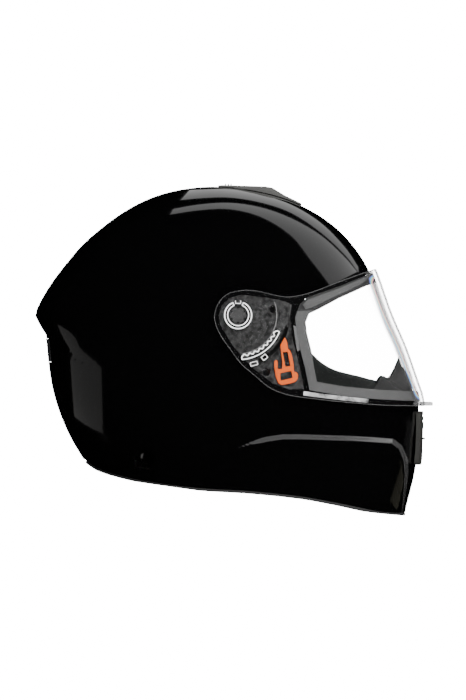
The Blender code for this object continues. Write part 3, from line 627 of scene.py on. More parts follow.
def loop_on_form(corners: Sequence[Point], grow: float, pitch: float) -> list[Vector]:
    """Closed loop where an outline that is open towards the front meets both sides.

    Args:
        corners: Side view corners from the top front, round the back, to the bottom front.
        grow: How far outside the form the loop lies.
        pitch: Spacing of the loop's points.

    Returns:
        The loop's points, starting at the top front on the centre line.
    """
    inside = [(x, z) for x, z in curve_points(corners, 0.0004) if FORM.share(x, z, grow) < 1.0]
    half = [Vector((x, FORM.width_at(x, z, grow), z)) for x, z in inside]
    half[0].y = half[-1].y = 0.0
    length = sum((second - first).length for first, second in zip(half, half[1:]))
    left = even_out(half, round(length / pitch))
    right = [Vector((point.x, -point.y, point.z)) for point in left[-2:0:-1]]
    return left + right


def wire(points: Sequence[Vector], radius: float, closed: bool = False, sides: int = 6) -> Item:
    """A round bead along a path."""
    section = [(radius * math.cos(math.tau * i / sides), radius * math.sin(math.tau * i / sides))
               for i in range(sides)]
    frames = []
    count = len(points)
    for index, point in enumerate(points):
        if closed:
            along = points[(index + 1) % count] - points[index - 1]
        else:
            along = points[min(count - 1, index + 1)] - points[max(0, index - 1)]
        across = along.cross(Vector((0.0, 1.0, 0.0)))
        if across.length < 1e-9:
            across = along.cross(Vector((0.0, 0.0, 1.0)))
        across.normalize()
        frames.append((point, across, across.cross(along).normalized()))
    return carried(frames, section, closed)


def arc(radius: float, start: float, end: float, count: int, centre: Point = (0.0, 0.0)) -> list[Point]:
    """Side view points on an arc, angles in degrees."""
    angles = [math.radians(start + (end - start) * step / count) for step in range(count + 1)]
    return [(centre[0] + radius * math.cos(angle), centre[1] + radius * math.sin(angle)) for angle in angles]


def polish(item: Item, grow: float, relief: bool = False) -> Item:
    """Give the faces that lie on the form the form's own exact normals.

    Args:
        item: A finished solid in the worn frame.
        grow: How far outside the form those faces lie.
        relief: Whether they follow the shell's relief.

    Returns:
        The same object.
    """
    data = item.data
    data.shade_smooth()
    data.set_sharp_from_angle(angle=ANGLE_SHARP)
    normals: dict[int, Vector] = {}
    for vert in data.vertices:
        slope = FORM.slope(vert.co, grow)
        steep = slope.length
        if steep < 1e-6:
            continue
        lift = FORM.lift(vert.co.x, vert.co.z) if relief else 0.0
        if abs((FORM.level(vert.co, grow) - 1.0) / steep - lift) > 0.0004:
            continue
        outward = FORM.relief_normal(vert.co) if relief and lift else slope / steep
        normals[vert.index] = outward
    loops = [Vector((0.0, 0.0, 0.0))] * len(data.loops)
    for face in data.polygons:
        if any(index not in normals for index in face.vertices):
            continue
        if face.normal.dot(normals[face.vertices[0]]) < 0.75:
            continue
        for loop in face.loop_indices:
            loops[loop] = normals[data.loops[loop].vertex_index]
    data.normals_split_custom_set(loops)
    return item


def shade(item: Item) -> Item:
    """Smooth shading that keeps edges sharper than ANGLE_SHARP."""
    item.data.shade_smooth()
    item.data.set_sharp_from_angle(angle=ANGLE_SHARP)
    return item


def measure(item: Item, name: str, read: Callable[[Vector], float]) -> Item:
    """Store a number per point, which the item's material reads."""
    layer = item.data.attributes.new(name, "FLOAT", "POINT")
    for vert in item.data.vertices:
        layer.data[vert.index].value = read(vert.co)
    return item


# ------------------------------------------------------------------ finishes


class Grain(Enum):
    """The fine surface texture of a finish."""

    SMOOTH = 0
    MOULDED = 1
    MOTTLED = 2
    WOVEN = 3
    KNIT = 4
    BEADED = 5
    BRUSHED = 6


SLOTS = (
    "gloss_shell", "clear_shield", "rubber_edge", "vent_plastic", "plate_plastic", "lever_plastic",
    "black_foam",
    "liner_fabric", "webbing", "pull_webbing", "plated_steel", "rivet_cap",
)


def add_node(tree: Tree, kind: str, values: dict | None = None, **settings: str) -> Node:
    """Add a shader node.

    Args:
        tree: Where the node goes.
        kind: Its type, without the leading word that all types share.
        values: Its inputs, each a plain value or the socket that is linked to it.
        settings: Its properties.

    Returns:
        The new node.
    """
    node = tree.nodes.new("ShaderNode" + kind)
    for name, setting in settings.items():
        setattr(node, name, setting)
    for name, value in (values or {}).items():
        if isinstance(value, Socket):
            tree.links.new(value, node.inputs[name])
        else:
            node.inputs[name].default_value = value
    return node


def fill_ramp(node: Node, stops: Iterable[tuple[float, Sequence[float]]]) -> None:
    """Set a colour ramp's stops, the first of which lies at its start."""
    points = node.color_ramp.elements
    for index, (place, colour) in enumerate(stops):
        point = points[index] if index < 2 else points.new(place)
        point.position, point.color = place, colour


@dataclass(frozen=True)
class Finish:
    """One material: its colour, its gloss and the grain of its surface.

    The colour wanders by spread towards tint, in patches of the size patch.
    """

    name: str
    colour: Colour
    roughness: float
    tint: Colour | None = None
    spread: float = 0.35
    patch: float = 0.02
    grain: Grain = Grain.MOULDED
    pitch: float = 0.0006
    depth: float = 0.15
    metallic: float = 0.0
    coat: float = 0.0
    coat_roughness: float = 0.03
    alpha: float = 1.0
    sheen: float = 0.0
    specular: float = 0.5
    measure: str = ""
    steps: tuple[tuple[float, Colour, float], ...] = ()

    def make(self) -> bpy.types.Material:
        """Build the node material, or fetch it if it is there already."""
        label = f"finish_{self.name}"
        found = bpy.data.materials.get(label)
        if found:
            return found
        material = bpy.data.materials.new(label)
        material.use_nodes = True
        tree = material.node_tree
        shader = tree.nodes["Principled BSDF"]
        plain = {
            "Metallic": self.metallic, "Coat Weight": self.coat, "Coat Roughness": self.coat_roughness,
            "Alpha": self.alpha, "Sheen Weight": self.sheen, "Specular IOR Level": self.specular,
        }
        for socket, value in plain.items():
            shader.inputs[socket].default_value = value
        place = add_node(tree, "TexCoord").outputs["Object"]
        self.paint(tree, shader, self.noise(tree, place, 1.0 / self.patch, 4.0))
        self.gloss(tree, shader, place)
        self.texture(tree, shader, place)
        return material

    @property
    def slot(self) -> str:
        """The record's slot, with which the finish's name begins."""
        return next(slot for slot in SLOTS if self.name.startswith(slot))

    @staticmethod
    def noise(tree: Tree, place: Socket, scale: float, detail: float) -> Socket:
        """A noise texture at a scale."""
        return add_node(tree, "TexNoise", {"Vector": place, "Scale": scale, "Detail": detail}).outputs["Fac"]

    def paint(self, tree: Tree, shader: Node, patches: Socket) -> None:
        """Link the base colour, and the alpha where the finish has steps."""
        tint = self.tint or tuple(min(1.0, 1.5 * part + 0.002) for part in self.colour)
        share = add_node(tree, "MapRange", {"Value": patches, "From Min": 0.35, "From Max": 0.75,
                                            "To Max": self.spread})
        mix = add_node(tree, "Mix", {"A": (*self.colour, 1.0), "B": (*tint, 1.0),
                                     "Factor": share.outputs["Result"]}, data_type="RGBA")
        result = mix.outputs["Result"]
        if self.steps:
            reach = self.steps[-1][0]
            reader = add_node(tree, "Attribute", attribute_name=self.measure)
            scale = add_node(tree, "Math", {0: reader.outputs["Fac"], 1: 1.0 / reach}, operation="MULTIPLY")
            bands = add_node(tree, "ValToRGB", {"Fac": scale.outputs[0]})
            fill_ramp(bands, ((place / reach, (*colour, alpha)) for place, colour, alpha in self.steps))
            tree.links.new(bands.outputs["Alpha"], shader.inputs["Alpha"])
            result = bands.outputs["Color"]
        tree.links.new(result, shader.inputs["Base Color"])

    def gloss(self, tree: Tree, shader: Node, place: Socket) -> None:
        """Let the roughness wander a little, as wiped and handled surfaces do."""
        smear = self.noise(tree, place, 0.4 / self.patch, 6.0)
        span = add_node(tree, "MapRange", {"Value": smear, "From Min": 0.3, "From Max": 0.7,
                                           "To Min": self.roughness * 0.88,
                                           "To Max": min(1.0, self.roughness * 1.15 + 0.005)})
        tree.links.new(span.outputs["Result"], shader.inputs["Roughness"])

    def texture(self, tree: Tree, shader: Node, place: Socket) -> None:
        """Link the grain's bump."""
        scale = 1.0 / self.pitch
        if self.grain is Grain.SMOOTH:
            return
        if self.grain in (Grain.WOVEN, Grain.KNIT):
            height = self.weave(tree, place)
        elif self.grain is Grain.BEADED:
            height = add_node(tree, "TexVoronoi", {"Vector": place, "Scale": scale}).outputs["Distance"]
        elif self.grain is Grain.BRUSHED:
            stretched = add_node(tree, "Mapping", {"Vector": place, "Scale": (0.05, 1.0, 1.0)})
            height = self.noise(tree, stretched.outputs["Vector"], scale, 3.0)
        else:
            height = self.noise(tree, place, scale, 3.0 if self.grain is Grain.MOULDED else 8.0)
        bump = add_node(tree, "Bump", {"Height": height, "Strength": self.depth,
                                       "Distance": self.pitch * 0.5})
        tree.links.new(bump.outputs["Normal"], shader.inputs["Normal"])

    def weave(self, tree: Tree, place: Socket) -> Socket:
        """Crossed waves for cloth."""
        values = {"Vector": place, "Scale": math.tau / (20.0 * self.pitch), "Detail Scale": 2.0,
                  "Distortion": 0.6 if self.grain is Grain.KNIT else 0.15}
        waves = [add_node(tree, "TexWave", values, bands_direction=axis).outputs["Fac"] for axis in ("X",
                                                                                                     "Z")]
        joint = "MULTIPLY" if self.grain is Grain.WOVEN else "MAXIMUM"
        return add_node(tree, "Math", dict(enumerate(waves)), operation=joint).outputs[0]


@dataclass(frozen=True)
class ClearFinish(Finish):
    """A clear wall that grows denser where it is seen edge-on, as thick plastic does, with painted shade and
    a painted bright strip where reflection and refraction mark its edge-on band.
    """

    dense: tuple[tuple[float, float], ...] = ()

    def paint(self, tree: Tree, shader: Node, patches: Socket) -> None:
        """Link the alpha to the facing ratio, painting the shade and bright strip of the edge-on band, and a
        painted iridescence to the stored depth.
        """
        super().paint(tree, shader, patches)
        facing = add_node(tree, "LayerWeight", {"Blend": 0.5})
        ramp = add_node(tree, "ValToRGB", {"Fac": facing.outputs["Facing"]})
        fill_ramp(ramp, ((place, (alpha, alpha, alpha, 1.0)) for place, alpha in self.dense))
        painted = shader.inputs["Alpha"].links[0].from_socket
        larger = add_node(tree, "Math", {0: painted, 1: ramp.outputs["Color"]}, operation="MAXIMUM")
        tree.links.new(larger.outputs[0], shader.inputs["Alpha"])


def grey(level: float) -> Colour:
    """A neutral colour."""
    return (level, level, level)


GLOSS_BLACK = Finish(
    "gloss_shell_black", (0.0007, 0.0007, 0.0008), 0.09, grain=Grain.SMOOTH, coat=0.9, coat_roughness=0.025,
    specular=0.45, measure="from_ledge",
    # The steps colour the shell a lighter grey within about 2 mm of the jaw ledge's middle, where the ledge
    # is tall enough: a painted highlight along the ledge.
    steps=(
        (0.0, grey(0.030), 1.0), (0.0019, grey(0.030), 1.0), (0.0023, (0.0007, 0.0007, 0.0008), 1.0),
        (0.0060, (0.0007, 0.0007, 0.0008), 1.0),
    ),
)
CLEAR = ClearFinish(
    "clear_shield", grey(0.05), 0.03, grain=Grain.SMOOTH, alpha=0.06, measure="edge_depth",
    # The steps paint a faint rainbow stripe 9 to 12 mm inside the front edge: a painted iridescence, light
    # split in the clear wall.
    steps=(
        (0.0, grey(0.08), 0.0), (0.0088, grey(0.06), 0.0), (0.0094, (0.70, 0.20, 0.36), 0.24),
        (0.0100, (0.62, 0.60, 0.20), 0.20), (0.0106, (0.12, 0.60, 0.55), 0.24),
        (0.0112, (0.16, 0.22, 0.72), 0.20), (0.0120, grey(0.06), 0.0), (0.0150, grey(0.05), 0.0),
    ),
    # The facing ramp is grey at the very edge, clear in a strip inside it, then grey fading inwards: painted
    # shade and a painted bright strip.
    dense=((0.0, 0.018), (0.600, 0.025), (0.622, 0.25), (0.638, 0.58), (0.655, 0.74), (0.675, 0.79),
           (0.695, 0.85), (0.715, 0.80), (0.750, 0.72), (0.778, 0.52), (0.805, 0.22), (0.835, 0.28),
           (0.862, 0.72), (0.890, 0.80), (0.930, 0.60)),
)
CLEAR_INNER = Finish("clear_shield_inner", grey(0.05), 0.03, grain=Grain.SMOOTH, alpha=0.02)
# Lighter and mostly opaque on the edge bead: a painted highlight along the visor's cut edge.
CLEAR_EDGE_HIGHLIGHT = Finish("clear_shield_edge", grey(0.075), 0.12, grain=Grain.SMOOTH, alpha=0.75)
# Near white and nearly opaque on clear moulded ribs: painted highlights where their edges catch the light.
CLEAR_HIGHLIGHT = Finish("clear_shield_white", grey(0.93), 0.18, grain=Grain.SMOOTH, alpha=0.97)
# Light grey and mostly opaque on clear parts: fainter painted highlights.
CLEAR_DIM_HIGHLIGHT = Finish("clear_shield_rib", grey(0.16), 0.12, grain=Grain.SMOOTH, alpha=0.80)
# Patches from dark to near white along the shield's lower edge: painted highlights, streaks of reflected
# light.
CLEAR_STREAK_HIGHLIGHT = Finish("clear_shield_bevel", grey(0.03), 0.1, tint=grey(0.95), spread=1.0, patch=0.012,
                     grain=Grain.SMOOTH, alpha=0.55)
RUBBER = Finish("rubber_edge", grey(0.020), 0.5, grain=Grain.MOULDED, pitch=0.0004, depth=0.2)
SEAL_GREY = Finish("rubber_edge_seal", grey(0.052), 0.62, grain=Grain.MOULDED, pitch=0.0005, depth=0.25)
SEAL_DARK = Finish("rubber_edge_dark", grey(0.020), 0.55, grain=Grain.MOULDED, pitch=0.0005, depth=0.25)
MASK = Finish("rubber_edge_mask", grey(0.016), 0.6, grain=Grain.MOULDED, pitch=0.0005, depth=0.25)
VENT = Finish("vent_plastic", (0.055, 0.055, 0.053), 0.46, grain=Grain.MOULDED, pitch=0.0005, depth=0.35)
CHIN_VENT = Finish("vent_plastic_chin", (0.020, 0.020, 0.018), 0.55, grain=Grain.MOULDED, pitch=0.0005,
                   depth=0.3)
PLATE = Finish("plate_plastic", grey(0.005), 0.42, tint=grey(0.046), spread=1.0, patch=0.0034,
               grain=Grain.MOTTLED, pitch=0.0009, depth=0.6)
HUB = Finish("plate_plastic_hub", grey(0.034), 0.42, grain=Grain.MOULDED, pitch=0.0004, depth=0.15)
# Near black for recesses and side walls: painted shade.
SHADE_BLACK = Finish("plate_plastic_groove", grey(0.001), 0.5, grain=Grain.MOULDED)
LEVER_ORANGE = Finish("lever_plastic", (0.50, 0.064, 0.0005), 0.42, tint=(0.50, 0.085, 0.002), spread=0.6,
                      patch=0.008, grain=Grain.MOULDED, pitch=0.0004, depth=0.12)
# Darker red for the lever's side faces: painted shade on the orange plastic.
LEVER_SHADE = Finish("lever_plastic_shade", (0.16, 0.012, 0.003), 0.45, grain=Grain.MOULDED, pitch=0.0004,
                   depth=0.12)
SLIVER = Finish("plate_plastic_sliver", grey(0.075), 0.5, grain=Grain.MOULDED)
FOAM = Finish("black_foam", grey(0.006), 0.9, tint=grey(0.014), grain=Grain.BEADED, pitch=0.0035, depth=0.5)
FABRIC = Finish("liner_fabric", (0.004, 0.0047, 0.0045), 0.95, tint=(0.010, 0.0115, 0.0105), spread=0.6,
                grain=Grain.KNIT, pitch=0.0011, depth=0.6, sheen=0.05)
FABRIC_DARK = Finish("liner_fabric_dark", grey(0.006), 0.95, grain=Grain.WOVEN, pitch=0.0008, depth=0.5,
                     sheen=0.1)
PIPING = Finish("liner_fabric_piping", grey(0.006), 0.7, grain=Grain.WOVEN, pitch=0.0007, depth=0.4)
THREAD = Finish("liner_fabric_thread", grey(0.30), 0.8, grain=Grain.WOVEN, pitch=0.0003, depth=0.4)
WEBBING = Finish("webbing", grey(0.008), 0.85, tint=grey(0.02), grain=Grain.WOVEN, pitch=0.0011, depth=0.8)
PULL = Finish("pull_webbing", (0.25, 0.006, 0.006), 0.8, grain=Grain.WOVEN, pitch=0.0009, depth=0.8)
STEEL = Finish("plated_steel", grey(0.45), 0.27, grain=Grain.BRUSHED, pitch=0.0003, depth=0.08, metallic=1.0)
RIVET_BLACK = Finish("rivet_cap", grey(0.30), 0.14, grain=Grain.SMOOTH, metallic=1.0)

# ------------------------------------------------------------------ pieces


@dataclass
class Piece:
    """One finished piece on its way into the frame.

    Where bend is given, the piece stays in the world frame with no body; its two points aren't read.
    """

    item: Item
    name: str
    finish: Finish
    body: str = "shell"
    slot: str = ""
    node: str = ""
    bend: tuple[Vector, Vector] | None = None

    def add(self) -> Item:
        """Stand the piece up, give it its finish, hang it on its body and hide the CAD node that it replaces.
        """
        self.item.name = self.name
        self.item.data.name = self.name
        self.item.data.transform(STAND)
        if not self.item.data.materials:
            self.item.data.materials.append(self.finish.make())
        if self.bend:
            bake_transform(self.item)
        else:
            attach(self.item, self.body)
        if self.node:
            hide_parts(self.node)
        LOG.info("%s: %d faces on %s", self.name, len(self.item.data.polygons), self.body)
        return self.item


def second_finish(item: Item, first: Finish, second: Finish, chosen: Callable[[Vector], bool]) -> Item:
    """Give an item two finishes, the second on the faces whose middle is chosen."""
    item.data.materials.append(first.make())
    item.data.materials.append(second.make())
    for face in item.data.polygons:
        if chosen(face.center):
            face.material_index = 1
    return item


RIM: tuple[Point, ...] = (
    (-0.134, -0.128), (-0.122, -0.135), (-0.0965, -0.142), (-0.068, -0.147), (-0.032, -0.151),
    (0.0105, -0.1535), (0.053, -0.158), (0.081, -0.163), (0.102, -0.1675), (0.123, -0.172),
    (0.147, -0.1745),
)
EYE_PORT: tuple[Point, ...] = (
    (0.057, -0.045), (0.061, -0.0645), (0.090, -0.0695), (0.121, -0.0725), (0.157, -0.0745),
    (FAR, -0.078), (FAR, 0.065), (0.125, 0.041), (0.114, 0.0365), (0.0875, 0.0255),
    (0.059, 0.0155), (0.0525, 0.009), (0.0485, -0.002), (0.050, -0.018),
)
EYE_OPENING: tuple[Point, ...] = (
    (0.065, -0.045), (0.0675, -0.057), (0.090, -0.061), (0.121, -0.064), (0.157, -0.066),
    (FAR, -0.069), (FAR, 0.056), (0.114, 0.027), (0.0875, 0.015), (0.069, 0.005),
    (0.061, 0.0015), (0.058, -0.006), (0.059, -0.015), (0.063, -0.031),
)
BASE_PLATE: tuple[Point, ...] = (
    (0.005, -0.038), (0.016, -0.048), (0.029, -0.058), (0.043, -0.0635), (0.0565, -0.0635),
    (0.053, -0.045), (0.046, -0.018), (0.0445, -0.002), (0.046, 0.009), (0.040, 0.012),
    (0.022, 0.0155), (0.003, 0.0175), (-0.007, 0.015), (-0.014, 0.008), (-0.0165, 0.0),
    (-0.0155, -0.008), (-0.006, -0.024),
)
VISOR_BACK: tuple[Point, ...] = (
    (0.185, 0.0635), (0.150, 0.0510), (0.121, 0.0412), (0.0875, 0.029), (0.061, 0.019), (0.044, 0.0155),
    (0.034, 0.0165), (0.023, 0.019), (0.013, 0.021), (0.003, 0.021), (-0.009, 0.018), (-0.017, 0.010),
    (-0.020, 0.001), (-0.020, -0.0045), (-0.0165, -0.0145), (-0.009, -0.026), (0.003, -0.042),
    (0.014, -0.0515), (0.027, -0.062), (0.042, -0.068), (0.061, -0.071), (0.0875, -0.074),
    (0.121, -0.077), (0.163, -0.0785), (0.190, -0.0797),
)
LEVER: tuple[Point, ...] = (
    (0.0304, -0.0431), (0.0320, -0.0531), (0.0342, -0.0581), (0.0367, -0.0600), (0.0423, -0.0593),
    (0.0486, -0.0575), (0.0511, -0.0550), (0.0517, -0.0512), (0.0505, -0.0487), (0.0480, -0.0481),
    (0.0477, -0.0418), (0.0461, -0.0337), (0.0445, -0.0299), (0.0430, -0.0287), (0.0420, -0.0224),
    (0.0398, -0.0183), (0.0358, -0.0255), (0.0364, -0.0312), (0.0375, -0.0399), (0.0373, -0.0459),
    (0.0339, -0.0456), (0.0342, -0.0412), (0.0336, -0.0381), (0.0308, -0.0387),
)
SPRING_WINDOW: tuple[Point, ...] = ((0.0386, -0.0321), (0.0408, -0.0437), (0.0442, -0.0431), (0.0420,
                                                                                              -0.0318))
FINGER_WINDOW: tuple[Point, ...] = ((0.0364, -0.0500), (0.0367, -0.0556), (0.0461, -0.0534), (0.0452,
                                                                                              -0.0481))
SCREWS: tuple[Point, ...] = ((0.0300, 0.0050), (0.0240, -0.0490))
PEG: Point = (0.0425, -0.0413)
RIVET: Point = (-0.078, -0.122)
WALL = 0.004
GAP = 0.0003
VISOR_OUT = 0.0065
VISOR_IN = 0.0043


def rim_height(x: float) -> float:
    """Height of the shell's lower edge at x."""
    return smooth_through(RIM, max(RIM[0][0], min(RIM[-1][0], x)))


def below_rim(lift: float) -> Item:
    """Everything under the lower edge, raised by lift."""
    stations = [-0.170 + 0.004 * step for step in range(88)]
    top = [(x, rim_height(x) + lift) for x in stations]
    return prism([(stations[0], -0.30), (stations[-1], -0.30)] + top[::-1], -FAR, FAR)


def rivet_frame(side: Side) -> tuple[Vector, Vector]:
    """The rivet's point on the shell's outside and the direction out of it."""
    x, z = RIVET
    point = Vector((x, side.value * FORM.width_at(x, z), z))
    return point, FORM.normal(point)


def bore(radius: float, depth: float, point: Vector, normal: Vector) -> Item:
    """A round cutting tool through a point."""
    return turned([(0.0, -depth), (radius, -depth), (radius, depth), (0.0, depth)], point, normal, 32)


class Shell:
    """The hard shell and what is fixed round its edges."""

    def build(self) -> None:
        """Make every piece of the shell."""
        self.outer()
        self.trim()
        self.gasket()
        self.grille()
        for side in Side:
            self.rivet(side)

    def outer(self) -> None:
        """Painted shell with its jaw ledge, spoiler and openings, and a painted highlight along the ledge."""
        shell = cut(dome(0.0, 192, relief=True), below_rim(0.0027))
        cut(shell, prism(EYE_PORT, -FAR, FAR))
        cut(shell, dome(-WALL, 96))
        tools = []
        for side in Side:
            pocket = prism(inset(BASE_PLATE, -GAP), *side.span(0.06, 0.16))
            tools.append(cut(pocket, dome(-0.0020, 64)))
            tools.append(bore(0.0029, 0.009, *rivet_frame(side)))
        tools.append(block((-0.0195, -0.008, 0.1112), (0.0075, 0.008, 0.13)))
        pocket = block((-0.19, -0.0303, -0.0403), (-0.12, 0.0303, -0.0197))
        tools.append(cut(pocket, dome(-0.0020, 64)))
        tools.append(block((0.14, -0.009, -0.1150), (0.18, 0.009, -0.1110)))
        cut(shell, merge(*tools))


        def from_ledge(co: Vector) -> float:
            """Distance from the middle of the jaw ledge, stretched where the ledge fades out; it places the
            painted highlight along the ledge.
            """
            gap, height = JAW_LEDGE.nearest(co.x, co.z)
            return min(0.0060, abs(gap) + 0.0022 * max(0.0, 1.0 - height / 0.0030))

        measure(shell, "from_ledge", from_ledge)
        polish(shell, 0.0, relief=True)
        Piece(shell, "shell_paint", GLOSS_BLACK, node="outer_shell").add()

    def trim(self) -> None:
        """Rubber bead under the edge, with a groove round its outside."""
        middle, half = (0.1455 - 0.1325) / 2, (0.1455 + 0.1325) / 2
        count = 220

        def place(turn: float) -> Vector:
            """The shell's outside at the rim."""
            x = middle + half * math.cos(turn)
            z = rim_height(x)
            return Vector((x, math.copysign(FORM.width_at(x, z), math.sin(turn)), z))

        section = [(0.0008, 0.0004), (0.0008, 0.0009), (0.0005, 0.0012), (0.0008, 0.0015), (0.0007, 0.0021),
                   (0.0002, 0.0025), (-0.0041, 0.0025), (-0.0042, 0.0052), (-0.0049, 0.0052),
                   (-0.0049, 0.0004), (-0.0045, 0.0), (0.0004, 0.0)]
        frames = []
        for step in range(count):
            turn = math.tau * (step + 0.5) / count
            along = (place(turn + 0.02) - place(turn - 0.02)).normalized()
            frames.append((place(turn), along.cross(Vector((0, 0, 1))).normalized(), Vector((0, 0, 1))))
        bead = carried(frames, section, closed=True)
        rear, front = Vector((-0.068, 0.0, -0.1464)), Vector((0.138, 0.0, -0.1734))
        slope = (front - rear).normalized()
        normal = slope.cross(Vector((0, 1, 0)))

        def flatten(co: Vector) -> Vector:
            """Keep the bead on or above the plane that the helmet stands on."""
            drop = (co - rear).dot(normal) * math.copysign(1.0, normal.z)
            return co + normal * math.copysign(1.0, normal.z) * max(0.0, -drop)

        reshape(bead, flatten)
        Piece(shade(bead), "rim_rubber", RUBBER, node="base_edge_trim").add()

    def gasket(self) -> None:
        """Rubber seal round the eye port, with a raised lip along its top."""
        seal = keep(band(0.0022, -0.007), prism(inset(EYE_PORT, GAP), -FAR, FAR))
        cut(seal, prism(EYE_OPENING, -FAR, FAR))
        second_finish(seal, SEAL_GREY, SEAL_DARK, lambda at: at.z > 0.0035)
        Piece(shade(seal), "port_seal", SEAL_GREY, node="eye_port_gasket").add()
        nose = [(0.0575, 0.0045), (0.0640, 0.0062), (0.0880, 0.0178), (0.1060, 0.0262), (0.1120, 0.0305),
                (0.1165, 0.0362), (0.1135, 0.0355), (0.0875, 0.0240), (0.0600, 0.0140), (0.0545, 0.0090)]
        lip = soften(keep(band(0.0033, 0.0006), prism(inset(nose, 0.0005), -FAR, FAR)), 0.0004)
        Piece(shade(lip), "port_seal_lip", SEAL_GREY).add()

    def grille(self) -> None:
        """Slotted exhaust plate under the spoiler."""
        plate = keep(band(0.0003, -0.0017), block((-0.19, -0.030, -0.040), (-0.12, 0.030, -0.020)))
        slots = []
        for row in range(4):
            z = -0.0365 + row * 0.0042
            slots.extend(block((-0.19, *low), (-0.12, *high)) for low, high in (
                ((-0.026, z), (-0.002, z + 0.0018)), ((0.002, z), (0.026, z + 0.0018))))
        cut(plate, merge(*slots))
        Piece(shade(plate), "rear_grille", RUBBER, slot="vent_plastic", node="rear_vent_grille").add()

    def rivet(self, side: Side) -> None:
        """Domed rivet head over its washer lip."""
        point, normal = rivet_frame(side)
        profile = [(0.0, -0.0109), (0.0045, -0.0109), (0.0045, -0.0096), (0.0025, -0.0096), (0.0025, 0.0004),
                   (0.0064, 0.0004), (0.0066, 0.0008), (0.0063, 0.0012), (0.0048, 0.0019), (0.0026, 0.0023),
                   (0.0, 0.0024)]
        name = f"strap_rivet_{side.word}"
        Piece(shade(turned(profile, point, normal)), f"rivet_head_{side.word}", RIVET_BLACK, node=name).add()


